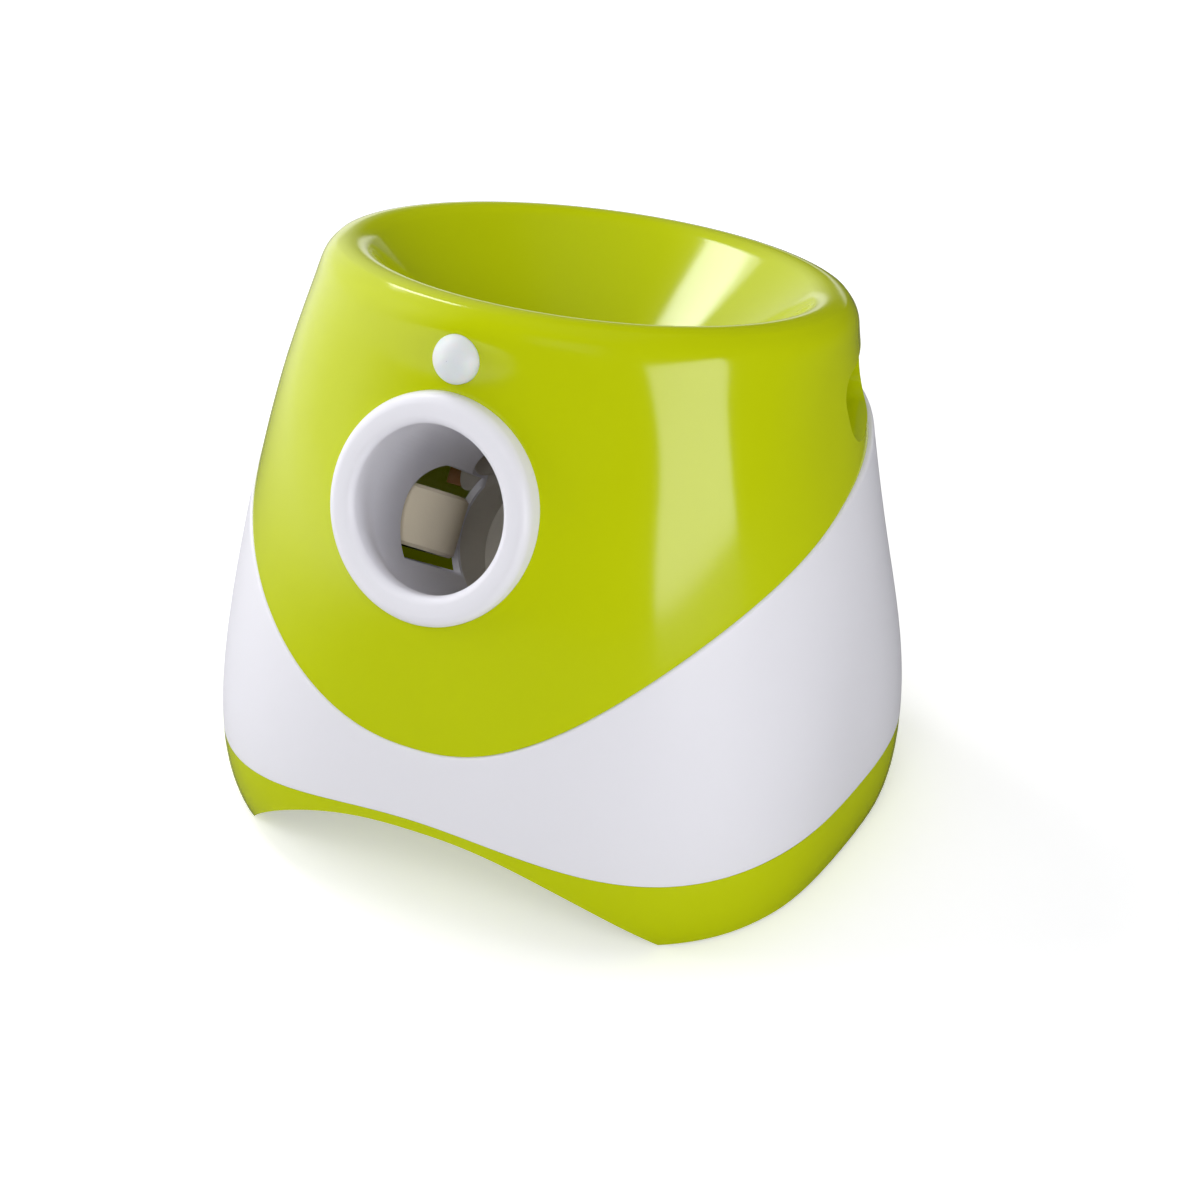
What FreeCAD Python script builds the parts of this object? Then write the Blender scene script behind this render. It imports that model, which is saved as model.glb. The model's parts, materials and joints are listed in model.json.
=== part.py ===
import FreeCAD, Part
import math
import os
from dataclasses import dataclass
from FreeCAD import Placement, Rotation, Vector

# Automatic dog ball launcher, millimetres, +Z up, front at -Y.
# The origin is on the floor under the middle of the base.

os.makedirs("parts", exist_ok=True)

X_AXIS = Vector(1, 0, 0)
Y_AXIS = Vector(0, 1, 0)
Z_AXIS = Vector(0, 0, 1)


@dataclass(frozen=True)
class Station:
    """One level ring of the body: a superellipse, leaning back by tilt degrees."""
    height: float
    half_width: float
    half_depth: float
    squareness: float
    centre_y: float
    tilt: float


# ---------------------------------------------------------------- driving sizes
# body
sole_ring = Station(1, 115, 99, 2.9, -2.5, 0)
skirt_ring = Station(20, 119, 107.8, 2.7, -2.2, 0)
hip_ring = Station(46, 119.5, 110.1, 2.6, -1.9, 0)
waist_ring = Station(98.5, 115.5, 109.5, 2.2, 0.9, 4.8)
shoulder_ring = Station(140, 107.4, 102.2, 2.2, 6.0, 9.4)
rim_ring = Station(192, 96.5, 96.5, 2.0, 19.6, 13.8)
body_rings = (sole_ring, skirt_ring, hip_ring, waist_ring, shoulder_ring, rim_ring)
shell_wall = 3.0
seam_gap = 0.3
ring_points = 32

# how far the white lower shell stands out past the green one
proud_side = 1.2
proud_depth = 1.8
proud_back_shift = 1.6

# U-shaped seam between the lower and the top shell
seam_front_height = 72.0
seam_rise = 83.6
seam_half_angle = 50.5
seam_sharpness = 2.3
tongue_depth = 8.0
tongue_wall = 2.0
tongue_gap = 0.3

# base tray
arch_half_span = 85.0
arch_height = 38.2
arch_fullness = 2.3
tray_edge_side = 29.0
tray_edge_front = 42.5
tray_edge_span = 108.5
floor_underside = 38.0
floor_thickness = 3.0
foot_inset_x = 94.0
foot_inset_y = 38.0
foot_boss_radius = 9.0
pad_radius = 7.0
pad_height = 3.0
sole_clearance = 1.0

# hopper
lip_radius = 10.6
lip_overhang = 0.3
bowl_wall = 2.8
bowl_slope = 44.0
bowl_depth = 47.0
throat_rim_depth = 41.0
throat_wall = 3.0

# launch tube
mouth_y = -92.7
mouth_z = 157.9
launch_angle = 35.0
bezel_angle = 19.3
bezel_radius = 40.3
bezel_proud = 5.0
bezel_skirt = 13.0
bezel_wall = 2.8
bezel_hole_depth = 20.0
mouth_step = 0.7
bore_radius = 30.5
tube_wall = 2.5
tube_length = 88.0
window_front = 38.0
window_back = 86.0
window_half_height = 18.0
window_corner = 16.0

# ball and friction wheels
ball_radius = 25.4
wheel_radius = 28.0
wheel_offset = 49.3
wheel_depth = 62.0
wheel_width = 22.0
wheel_drop = 2.4
tyre_thickness = 6.0
wheel_shaft_radius = 2.5
running_gap = 0.05
motor_radius = 15.0
motor_length = 40.0
ear_top = -17.0
ear_thickness = 3.0

# feed chute and gate
chute_radius = 27.0
chute_wall = 4.0
chute_top = 40.7
gate_bottom = 35.2
gate_thickness = 2.6
gate_clearance = 0.3
gate_disc_radius = 28.5
gate_arm = 46.0
gate_arm_width = 14.0
gate_swing = 75.0
gate_shaft_radius = 3.0
gear_module = 1.5
sector_teeth_full = 30
pinion_teeth = 12
gear_bottom = 28.5
gear_width = 4.0
pinion_bearing = 30.0
bracket_bottom = 24.0
bracket_thickness = 3.0

# sensor lens
lens_y = -75.5
lens_z = 206.2
lens_angle = 18.0
lens_radius = 9.3
lens_flange = 1.2
lens_flange_thickness = 1.2
lens_seat = 2.7

# hand grip pockets
grip_length = 48.0
grip_height = 26.0
grip_depth = 11.0
grip_corner = 10.0
grip_x = 97.0
grip_y = 50.0
grip_z = 163.0
grip_turn = 24.0

# batteries
cell_radius = 13.1
cell_length = 50.0
cell_rows = 3
cell_columns = 2
bay_wall = 2.0
bay_clearance = 0.6
door_bottom = 3.2
door_thickness = 2.5

# rear control panel
panel_z = 112.0
panel_width = 66.0
panel_height = 34.0
panel_face_y = 104.0
panel_thickness = 2.5
panel_rim = 3.0
button_radius = 7.0
button_spacing = 34.0
button_proud = 2.4
button_travel = 1.5
button_gap = 0.3

# fasteners and posts
post_radius = 5.0
post_top = 62.0
pilot_radius = 1.45
screw_radius = 1.5
screw_head_radius = 3.2
head_seat = 11.0
rib_thickness = 2.5
column_size = 10.0
column_y = -42.0
cradle_half_width = 14.0
cradle_depth = 24.0

# ears under the launch tube and the drive's small sizes
ear_width = 70.0
ear_front = 44.0
ear_back = 96.0
motor_nose_radius = 5.0
motor_screw_spacing = 8.0
bracket_reach = 86.0
gear_motor_nose = 3.5
pinion_shaft_radius = 1.5
gear_backlash = 0.25

# battery bay's small sizes
contact_room = 5.0
cell_top = 32.5
door_ear_radius = 5.0
door_gap = 0.2
arch_back_limit = 45.0

# rear panel and inlet's small sizes
panel_corner = 6.0
light_radius = 1.5
light_spacing = 9.0
key_board_y = 91.5
switch_tip_y = 95.4
post_x = 28.0
post_z = 12.0
jack_x = -40.0
jack_z = 62.0
jack_radius = 5.0
jack_bore = 2.9
jack_face_y = 107.5
sensor_board_top = -11.0

# main board
board_z = 48.0
board_y = 64.0
board_half_x = 45.0
board_half_y = 22.0
board_hole_x = 40.0
board_hole_y = 18.0
standoff_radius = 3.5

# ------------------------------------------------------------------ derived
drop_depth = wheel_depth + math.sqrt((wheel_radius + ball_radius) ** 2 - wheel_offset ** 2)
breech_depth = drop_depth + ball_radius + 2.0
tube_radius = bore_radius + tube_wall
sector_radius = gear_module * sector_teeth_full / 2
pinion_radius = gear_module * pinion_teeth / 2
wheel_bottom = -wheel_drop - wheel_width / 2
wheel_top = wheel_bottom + wheel_width
floor_top = floor_underside + floor_thickness
rim_centre = Vector(0, rim_ring.centre_y, rim_ring.height)

BARREL = Placement(Vector(0, mouth_y, mouth_z), Rotation(X_AXIS, -launch_angle))
BEZEL = Placement(Vector(0, mouth_y, mouth_z), Rotation(X_AXIS, 90 - bezel_angle))
LENS = Placement(Vector(0, lens_y, lens_z), Rotation(X_AXIS, 90 - lens_angle))
HOPPER = Placement(rim_centre, Rotation(X_AXIS, -rim_ring.tilt))


# ------------------------------------------------------------------ helpers
def placed(shape, placement):
    """The shape carried into another frame."""
    moved = shape.copy()
    moved.Placement = placement.multiply(moved.Placement)
    return moved


def export(name, shape):
    """Write one sub-part as a STEP file."""
    if len(shape.Solids) == 1:
        shape = shape.Solids[0]
    print(name, "solids", len(shape.Solids), "valid", shape.isValid(), "volume", round(shape.Volume))
    shape.exportStep("parts/" + name + ".step")


def box(x_low, x_high, y_low, y_high, z_low, z_high):
    """A block between two corners."""
    return Part.makeBox(x_high - x_low, y_high - y_low, z_high - z_low, Vector(x_low, y_low, z_low))


def rounded_box(x_low, x_high, y_low, y_high, z_low, z_high, radius, axis):
    """A block with its four edges along one axis rounded."""
    block = box(x_low, x_high, y_low, y_high, z_low, z_high)
    edges = []
    for edge in block.Edges:
        along = edge.Vertexes[1].Point.sub(edge.Vertexes[0].Point).normalize()
        if abs(along.dot(axis)) > 0.99:
            edges.append(edge)
    return block.makeFillet(radius, edges)


def rod(radius, base, end):
    """A round bar between two points."""
    along = end.sub(base)
    return Part.makeCylinder(radius, along.Length, base, along)


def pipe(outer_radius, inner_radius, base, end):
    """A straight tube between two points."""
    return rod(outer_radius, base, end).cut(rod(inner_radius, base, end))


def fused(shapes):
    """All the shapes as one."""
    whole = shapes[0]
    if len(shapes) > 1:
        whole = whole.multiFuse(shapes[1:])
    return whole


def both_sides(shape):
    """The shape and its mirror image across the middle plane."""
    return [shape, shape.mirror(Vector(0, 0, 0), X_AXIS)]


def smooth_wire(points):
    """A closed smooth curve through the points."""
    curve = Part.BSplineCurve()
    knots = [float(index) for index in range(len(points) + 1)]
    curve.interpolate(Points=points, PeriodicFlag=True, Parameters=knots)
    return Part.Wire(curve.toShape())


def signed_power(value, power):
    """A power that keeps the sign."""
    return math.copysign(abs(value) ** power, value)


# ------------------------------------------------------------------ body skins
def ring_wire(ring, inset, side, depth, shift):
    """The outline of one body ring, moved in by inset or out by the proud sizes."""
    lean = math.radians(ring.tilt)
    points = []
    for index in range(ring_points):
        angle = 2 * math.pi * index / ring_points
        across = (ring.half_width + side - inset) * signed_power(math.cos(angle), 2 / ring.squareness)
        along = (ring.half_depth + depth - inset) * signed_power(math.sin(angle), 2 / ring.squareness)
        y = ring.centre_y + shift + along * math.cos(lean)
        z = ring.height - along * math.sin(lean)
        points.append(Vector(across, y, z))
    return smooth_wire(points)


def body_skin(inset, proud=0.0):
    """The solid inside the body's outer surface, moved in by inset; proud 1 is the white shell's."""
    side = proud * proud_side
    depth = proud * proud_depth
    shift = proud * proud_back_shift
    wires = [ring_wire(ring, inset, side, depth, shift) for ring in body_rings]
    return Part.makeLoft(wires, True, False, False, 5)


def seam_height(angle):
    """Height of the U-shaped seam at an angle from the front, in radians."""
    share = (abs(math.degrees(angle)) / seam_half_angle) ** seam_sharpness
    return seam_front_height + seam_rise * share / (1 + share)


def seam_loop(radius, lift, level=None):
    """A closed curve at a radius that follows the seam, or a level ring."""
    points = []
    count = 48
    for index in range(count):
        angle = 2 * math.pi * index / count - math.pi
        height = level if level is not None else seam_height(angle) + lift
        points.append(Vector(radius * math.sin(angle), -radius * math.cos(angle), height))
    curve = Part.BSplineCurve()
    knots = [float(index) for index in range(len(points) + 1)]
    curve.interpolate(Points=points, PeriodicFlag=True, Parameters=knots)
    return curve.toShape()


def below_seam(lift):
    """A thick ring whose top follows the seam, lifted by the given amount."""
    inner_radius = 40.0
    outer_radius = 180.0
    bottom = -20.0
    top_in = seam_loop(inner_radius, lift)
    top_out = seam_loop(outer_radius, lift)
    low_in = seam_loop(inner_radius, 0, bottom)
    low_out = seam_loop(outer_radius, 0, bottom)
    pairs = ((top_in, top_out), (top_out, low_out), (low_out, low_in), (low_in, top_in))
    faces = [Part.makeRuledSurface(first, second) for first, second in pairs]
    shell = Part.makeShell(faces)
    shell.sewShape()
    solid = Part.makeSolid(shell)
    if solid.Volume < 0:
        solid.reverse()
    return solid


def tray_edge_height(x):
    """Height of the tray's upper edge at a distance from the middle."""
    reach = min(abs(x) / tray_edge_span, 1.0)
    return tray_edge_side + (tray_edge_front - tray_edge_side) * math.cos(math.pi / 2 * reach) ** 2


def arch_edge_height(x):
    """Height of the arch between the feet at a distance from the middle."""
    reach = abs(x) / arch_half_span
    return arch_height * (1 - reach ** arch_fullness) ** 0.9


def below_curve(height_at, half_span, lift, y_low, y_high, bottom):
    """A prism along Y whose top follows a curve across X."""
    count = 12
    points = []
    for index in range(count + 1):
        x = half_span * (2 * index / count - 1)
        points.append(Vector(x, y_low, height_at(x) + lift))
    curve = Part.BSplineCurve()
    curve.interpolate(points)
    left = Vector(-half_span, y_low, bottom)
    right = Vector(half_span, y_low, bottom)
    outline = Part.Wire([curve.toShape(), Part.makeLine(points[-1], right),
                         Part.makeLine(right, left), Part.makeLine(left, points[0])])
    return Part.Face(outline).extrude(Vector(0, y_high - y_low, 0))


# ------------------------------------------------------------------ hopper
def bowl_start(inset):
    """Point where the lip's arc runs into the bowl's cone, in the hopper frame."""
    slope = math.radians(bowl_slope)
    radius = lip_radius - inset
    return Vector(lip_centre() - radius * math.sin(slope), 0, radius * math.cos(slope))


def bowl_curve(inset):
    """Half section of the bowl's surface, in the hopper frame, from lip to axis."""
    slope = math.radians(bowl_slope)
    start = bowl_start(inset)
    rim = Vector(throat_rim() + inset * 0.4, 0, -throat_rim_depth - inset * 0.95)
    points = [start + (rim - start) * share for share in (0.0, 0.3, 0.6, 0.85, 1.0)]
    points.append(Vector(0, 0, -bowl_depth - inset))
    curve = Part.BSplineCurve()
    downhill = Vector(-math.cos(slope), 0, -math.sin(slope))
    curve.interpolate(points, InitialTangent=downhill, FinalTangent=Vector(-1, 0, 0))
    return curve.toShape()


def throat_rim():
    """Radius at which the bowl's floor meets the throat."""
    return chute_radius + 2


def lip_centre():
    """Radius of the lip's centre line."""
    return rim_ring.half_width + lip_overhang - lip_radius


def hopper_solid():
    """Lip and bowl as one revolved wall, in the hopper frame."""
    outer_low = Vector(lip_centre() + lip_radius, 0, 0)
    lip_top = Vector(lip_centre(), 0, lip_radius)
    under_out = Vector(lip_centre() + lip_radius - bowl_wall, 0, 0)
    under_top = Vector(lip_centre(), 0, lip_radius - bowl_wall)
    edges = [
        Part.Arc(outer_low, lip_top, bowl_start(0)).toShape(),
        bowl_curve(0),
        Part.makeLine(Vector(0, 0, -bowl_depth), Vector(0, 0, -bowl_depth - bowl_wall)),
        bowl_curve(bowl_wall),
        Part.Arc(bowl_start(bowl_wall), under_top, under_out).toShape(),
        Part.makeLine(under_out, outer_low),
    ]
    outline = Part.Wire(Part.sortEdges(edges)[0])
    return Part.Face(outline).revolve(Vector(0, 0, 0), Z_AXIS, 360)


def hopper_hollow():
    """The space inside the bowl, in the hopper frame."""
    inner = bowl_start(0)
    top_in = Vector(inner.x, 0, 2 * lip_radius)
    axis_top = Vector(0, 0, 2 * lip_radius)
    axis_low = Vector(0, 0, -bowl_depth)
    edges = [bowl_curve(0), Part.makeLine(axis_low, axis_top), Part.makeLine(axis_top, top_in),
             Part.makeLine(top_in, inner)]
    outline = Part.Wire(Part.sortEdges(edges)[0])
    return Part.Face(outline).revolve(Vector(0, 0, 0), Z_AXIS, 360)


# ------------------------------------------------------------------ shells
def chute_bar(radius, low, high):
    """A round bar along the chute's axis, in the body frame."""
    return placed(rod(radius, Vector(0, drop_depth, low), Vector(0, drop_depth, high)), BARREL)


def bezel_hole():
    """The round hole in the top shell for the bezel."""
    radius = bezel_radius + seam_gap
    return placed(rod(radius, Vector(0, 0, -bezel_hole_depth), Vector(0, 0, 30)), BEZEL)


def grip_block(grow):
    """Rounded block for one hand grip pocket, grown by a wall."""
    half_length = grip_length / 2 + grow
    half_height = grip_height / 2 + grow
    block = rounded_box(-grip_depth - grow, 30, -half_length, half_length, -half_height, half_height,
                        grip_corner + grow, X_AXIS)
    turned = Placement(Vector(grip_x, grip_y, grip_z), Rotation(Z_AXIS, grip_turn))
    return placed(block, turned)


def make_top_shell():
    """Green upper moulding: wall, lip, bowl, throat collar, tongue and grip pockets."""
    outer = body_skin(0)
    inside_tongue_line = body_skin(shell_wall + tongue_gap, 1)
    tongue = body_skin(seam_gap).cut(body_skin(shell_wall + tongue_gap + tongue_wall, 1))
    tongue = tongue.common(below_seam(tongue_depth / 2)).cut(below_seam(-tongue_depth))
    hollow = placed(hopper_hollow(), HOPPER)
    collar = chute_bar(chute_radius + throat_wall, chute_top + seam_gap, 66).cut(hollow)
    pockets = [side.common(outer) for side in both_sides(grip_block(shell_wall - 0.5))]
    wall = outer.cut(body_skin(shell_wall)).cut(below_seam(-tongue_depth)).fuse(tongue)
    wall = wall.cut(below_seam(seam_gap / 2).cut(inside_tongue_line))
    shell = wall.multiFuse([placed(hopper_solid(), HOPPER), collar] + pockets)
    shell = shell.cut(fused(both_sides(grip_block(0))))
    shell = shell.cut(chute_bar(chute_radius, chute_top - 10, 80))
    shell = shell.cut(bezel_hole())
    return shell.cut(placed(rod(lens_radius + seam_gap, Vector(0, 0, -8), Vector(0, 0, 20)), LENS))


def case_posts(radius, low, high):
    """Four round bars on the case screw centres."""
    bars = []
    for x in (-foot_inset_x, foot_inset_x):
        for y in (sole_ring.centre_y - foot_inset_y, sole_ring.centre_y + foot_inset_y):
            bars.append(rod(radius, Vector(x, y, low), Vector(x, y, high)))
    return bars


def make_lower_shell():
    """White lower moulding between the tray and the seam, with its screw posts."""
    inner = body_skin(shell_wall, 1)
    wall = body_skin(0, 1).cut(inner).common(below_seam(-seam_gap / 2))
    wall = wall.cut(below_curve(tray_edge_height, 150, seam_gap / 2, -150, 150, -5))
    post_low = floor_top + seam_gap
    webs = []
    for post in case_posts(post_radius, post_low, post_top):
        centre = post.CenterOfMass
        reach = math.copysign(130, centre.x)
        web = box(min(centre.x, reach), max(centre.x, reach), centre.y - rib_thickness / 2,
                  centre.y + rib_thickness / 2, post_low, post_top)
        web = web.common(body_skin(shell_wall - 1, 1))
        webs.append(post.fuse(web))
    shell = wall.multiFuse(webs)
    shell = shell.cut(fused(case_posts(pilot_radius, post_low, post_top - 2)))
    panel_hole = rounded_box(-panel_width / 2 - seam_gap, panel_width / 2 + seam_gap, 80, 140,
                             panel_z - panel_height / 2 - seam_gap, panel_z + panel_height / 2 + seam_gap,
                             panel_corner + seam_gap, Y_AXIS)
    jack_hole = rod(jack_radius + seam_gap, Vector(jack_x, 80, jack_z), Vector(jack_x, 140, jack_z))
    return shell.cut(panel_hole).cut(jack_hole)


# ------------------------------------------------------------------ base
def bay_half_length():
    """Half length of the battery bay's inside, along X."""
    return cell_columns * cell_length / 2 + contact_room


def bay_half_width():
    """Half width of the battery bay's inside, along Y."""
    return cell_rows * cell_radius + bay_clearance * (cell_rows + 1) / 2


def door_screw_x():
    """Distance of each door screw from the middle; the ear bites 1 mm into the bay's wall."""
    return bay_half_length() + bay_wall + door_ear_radius - 1


def make_base_tray():
    """Green base: arched skirt, upstand, floor, feet, battery bay and supports."""
    core = body_skin(shell_wall + tongue_gap, 1)
    hollow = body_skin(shell_wall + tongue_gap + tongue_wall, 1)
    skirt = body_skin(0, 1).common(below_curve(tray_edge_height, 150, -seam_gap / 2, -150, 150, -5))
    upstand = core.common(box(-150, 150, -150, 150, 0, floor_top))
    under = hollow.common(box(-150, 150, -150, 150, -5, floor_underside))
    tray = skirt.fuse(upstand).cut(under)
    tray = tray.cut(box(-150, 150, -150, 150, -5, sole_clearance))
    bosses = case_posts(foot_boss_radius, sole_clearance, floor_underside + 1)
    bay_x = bay_half_length() + bay_wall
    bay_y = bay_half_width() + bay_wall
    bay_low = door_bottom + door_thickness + door_gap
    bay = box(-bay_x, bay_x, -bay_y, bay_y, bay_low, floor_underside + 1)
    ears = both_sides(rod(door_ear_radius, Vector(door_screw_x(), 0, bay_low),
                          Vector(door_screw_x(), 0, floor_underside + 1)))
    standoffs = board_bars(standoff_radius, floor_top - 1, board_z)
    tray = tray.multiFuse(bosses + [bay] + ears + standoffs)
    inside_x = bay_half_length()
    inside_y = bay_half_width()
    roof_low = cell_top + bay_clearance
    tray = tray.cut(box(-inside_x, inside_x, -inside_y, inside_y, 0, roof_low))
    tray = tray.cut(box(-inside_x, inside_x, -inside_y, inside_y, roof_low + bay_wall, board_z))
    tray = tray.multiFuse(ear_columns() + [breech_post()])
    for y_low, y_high in ((-150, -arch_back_limit), (arch_back_limit, 150)):
        tray = tray.cut(below_curve(arch_edge_height, arch_half_span, 0, y_low, y_high, -10))
    holes = case_posts(pad_radius + 0.2, 0, pad_height) + case_posts(screw_head_radius + 0.3, 0, head_seat)
    holes += case_posts(screw_radius + 0.3, 0, floor_top + 1) + board_bars(pilot_radius, floor_top, board_z)
    holes += both_sides(rod(pilot_radius, Vector(door_screw_x(), 0, 0), Vector(door_screw_x(), 0, 20)))
    return tray.cut(fused(holes))


def board_bars(radius, low, high):
    """Four round bars on the main board's screw centres."""
    bars = []
    for x in (-board_hole_x, board_hole_x):
        for y in (board_y - board_hole_y, board_y + board_hole_y):
            bars.append(rod(radius, Vector(x, y, low), Vector(x, y, high)))
    return bars


def above_ears():
    """Everything above the underside of the motor ears, in the body frame."""
    return placed(box(-150, 150, -50, 250, ear_top - ear_thickness - seam_gap, 200), BARREL)


def ear_columns():
    """Two columns that carry the motor ears."""
    column = box(ear_width - column_size, ear_width, column_y, column_y + column_size,
                 floor_underside + 1, 130)
    return both_sides(column.cut(above_ears()))


def breech_post():
    """Cradle that carries the back of the launch tube."""
    low = cell_top + bay_clearance + bay_wall / 2
    post = box(-cradle_half_width, cradle_half_width, column_y, column_y + cradle_depth, low, 82)
    return post.cut(placed(rod(tube_radius + seam_gap, Vector(0, 20, 0), Vector(0, 160, 0)), BARREL))


def make_foot_pads():
    """Four rubber pads under the feet."""
    return fused(case_posts(pad_radius, 0, pad_height))


def make_case_screws():
    """Four long screws that hold the lower shell on the tray."""
    shanks = case_posts(pilot_radius - running_gap, head_seat - 1, post_top - 6)
    heads = case_posts(screw_head_radius, head_seat - 3, head_seat)
    return fused([shank.fuse(head) for shank, head in zip(shanks, heads)])


def make_battery_door():
    """Door under the battery bay with two screw ears and grip ribs."""
    x = bay_half_length() + bay_wall
    y = bay_half_width() + bay_wall
    top = door_bottom + door_thickness
    door = box(-x, x, -y, y, door_bottom, top)
    ears = both_sides(rod(door_ear_radius, Vector(door_screw_x(), 0, door_bottom),
                          Vector(door_screw_x(), 0, top)))
    ribs = [box(-24, 24, 8 * step - 0.8, 8 * step + 0.8, door_bottom - 0.8, door_bottom + 1)
            for step in range(-2, 3)]
    door = door.multiFuse(ears + ribs)
    return door.cut(fused(both_sides(rod(screw_radius + 0.2, Vector(door_screw_x(), 0, 0),
                                         Vector(door_screw_x(), 0, 9)))))


def make_door_screws():
    """Two screws that hold the battery door."""
    shank = rod(pilot_radius - 0.1, Vector(door_screw_x(), 0, door_bottom), Vector(door_screw_x(), 0, 16))
    head = rod(screw_head_radius - 0.5, Vector(door_screw_x(), 0, door_bottom - 1.6),
               Vector(door_screw_x(), 0, door_bottom))
    return fused(both_sides(shank.fuse(head)))


def cell_places():
    """Middle of each battery cell and the end its button points to."""
    places = []
    pitch = 2 * cell_radius + bay_clearance
    for row in range(cell_rows):
        y = (row - (cell_rows - 1) / 2) * pitch
        facing = 1 if row % 2 == 0 else -1
        for column in range(cell_columns):
            x = (column - (cell_columns - 1) / 2) * cell_length
            places.append((x, y, facing))
    return places


def make_battery_cells():
    """Round cells in two columns, each with its end button."""
    cells = []
    nub = 1.5
    z = cell_top - cell_radius
    for x, y, facing in cell_places():
        start = Vector(x - facing * cell_length / 2, y, z)
        shoulder = Vector(x + facing * (cell_length / 2 - nub), y, z)
        tip = Vector(x + facing * (cell_length / 2 - 0.1), y, z)
        cells.append(rod(cell_radius, start, shoulder).fuse(rod(3.2, shoulder, tip)))
    return Part.makeCompound(cells)


def make_battery_contacts():
    """Spring contacts at both ends of the bay, one pair for each row."""
    contacts = []
    z = cell_top - cell_radius
    wall = bay_half_length()
    tip = cell_columns * cell_length / 2 + 0.3
    pitch = 2 * cell_radius + bay_clearance
    for side in (-1, 1):
        for row in range(cell_rows):
            y = (row - (cell_rows - 1) / 2) * pitch
            plate = box(wall - 0.9, wall - 0.2, y - 8, y + 8, z - 8, z + 8)
            coil = Part.makeCone(6.5, 3.0, wall - 0.9 - tip, Vector(wall - 0.9, y, z), Vector(-1, 0, 0))
            contact = plate.fuse(coil)
            if side < 0:
                contact = contact.mirror(Vector(0, 0, 0), X_AXIS)
            contacts.append(contact)
    return Part.makeCompound(contacts)


# ------------------------------------------------------------------ launcher
def barrel_rod(radius, start, end, x=0.0, v=0.0):
    """A round bar along the launch tube, in its own frame."""
    return rod(radius, Vector(x, start, v), Vector(x, end, v))


def upright(radius, low, high, x, depth):
    """A round bar across the launch tube, in its own frame."""
    return rod(radius, Vector(x, depth, low), Vector(x, depth, high))


def make_bezel():
    """Rounded ring round the mouth, revolved in the bezel's frame."""
    mouth = bore_radius + mouth_step
    crest = Vector((mouth + bezel_radius) / 2 - 0.8, 0, bezel_proud)
    web = mouth + tube_wall
    skirt = bezel_radius - bezel_wall
    edges = [Part.Arc(Vector(mouth, 0, 0), crest, Vector(bezel_radius, 0, 0)).toShape()]
    corners = [Vector(bezel_radius, 0, 0), Vector(bezel_radius, 0, -bezel_skirt),
               Vector(skirt, 0, -bezel_skirt), Vector(skirt, 0, -3), Vector(web + 1.5, 0, -3),
               Vector(web, 0, -6), Vector(mouth, 0, -6), Vector(mouth, 0, 0)]
    for first, second in zip(corners, corners[1:]):
        edges.append(Part.makeLine(first, second))
    face = Part.Face(Part.Wire(Part.sortEdges(edges)[0]))
    return placed(face.revolve(Vector(0, 0, 0), Z_AXIS, 360), BEZEL)


def window_block():
    """Cutter for both wheel windows: square at the back, rounded at the upper front."""
    high = window_half_height
    front = window_front
    corner = window_corner
    bend = corner * (1 - math.sqrt(0.5))
    edges = [
        Part.makeLine(Vector(0, window_back, high), Vector(0, window_back, -high)),
        Part.makeLine(Vector(0, window_back, -high), Vector(0, front, -high)),
        Part.makeLine(Vector(0, front, -high), Vector(0, front, high - corner)),
        Part.Arc(Vector(0, front, high - corner), Vector(0, front + bend, high - bend),
                 Vector(0, front + corner, high)).toShape(),
        Part.makeLine(Vector(0, front + corner, high), Vector(0, window_back, high)),
    ]
    face = Part.Face(Part.Wire(edges))
    face.translate(Vector(-60, 0, 0))
    return face.extrude(Vector(120, 0, 0))


def make_launch_tube():
    """Bezel, tube with wheel windows and the two ears that carry the motors."""
    tube = barrel_rod(tube_radius, -20, tube_length)
    ear = rounded_box(bore_radius - 5, ear_width, ear_front, ear_back, ear_top - ear_thickness, ear_top,
                      6.0, Z_AXIS)
    ears = fused(both_sides(ear)).cut(barrel_rod(bore_radius + 0.5, 0, 120))
    ears = ears.cut(barrel_rod(tube_radius + seam_gap, tube_length, 120))
    front_cut = placed(box(-60, 60, -60, 60, -4, 60), BEZEL)
    body = placed(tube.fuse(ears), BARREL).cut(front_cut).fuse(make_bezel())
    hollow = [barrel_rod(bore_radius, -60, tube_length + 1), window_block(),
              upright(chute_radius, 0, 60, 0, drop_depth)]
    for side in (-1, 1):
        x = side * wheel_offset
        hollow.append(upright(motor_nose_radius + 0.3, -30, 0, x, wheel_depth))
        for step in (-1, 1):
            hollow.append(upright(screw_radius + 0.2, -30, 0, x + step * motor_screw_spacing, wheel_depth))
    cutters = [placed(cutter, BARREL) for cutter in hollow]
    mouth = placed(rod(bore_radius + mouth_step, Vector(0, 0, -4), Vector(0, 0, 20)), BEZEL)
    return body.cut(fused(cutters)).cut(mouth)


def make_breech_cap():
    """Closed back end of the launch tube."""
    cap = barrel_rod(tube_radius, tube_length + 0.2, breech_depth + tube_wall)
    cap = cap.cut(barrel_rod(bore_radius, tube_length - 1, breech_depth))
    return placed(cap.cut(upright(chute_radius, 0, 60, 0, drop_depth)), BARREL)


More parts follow.
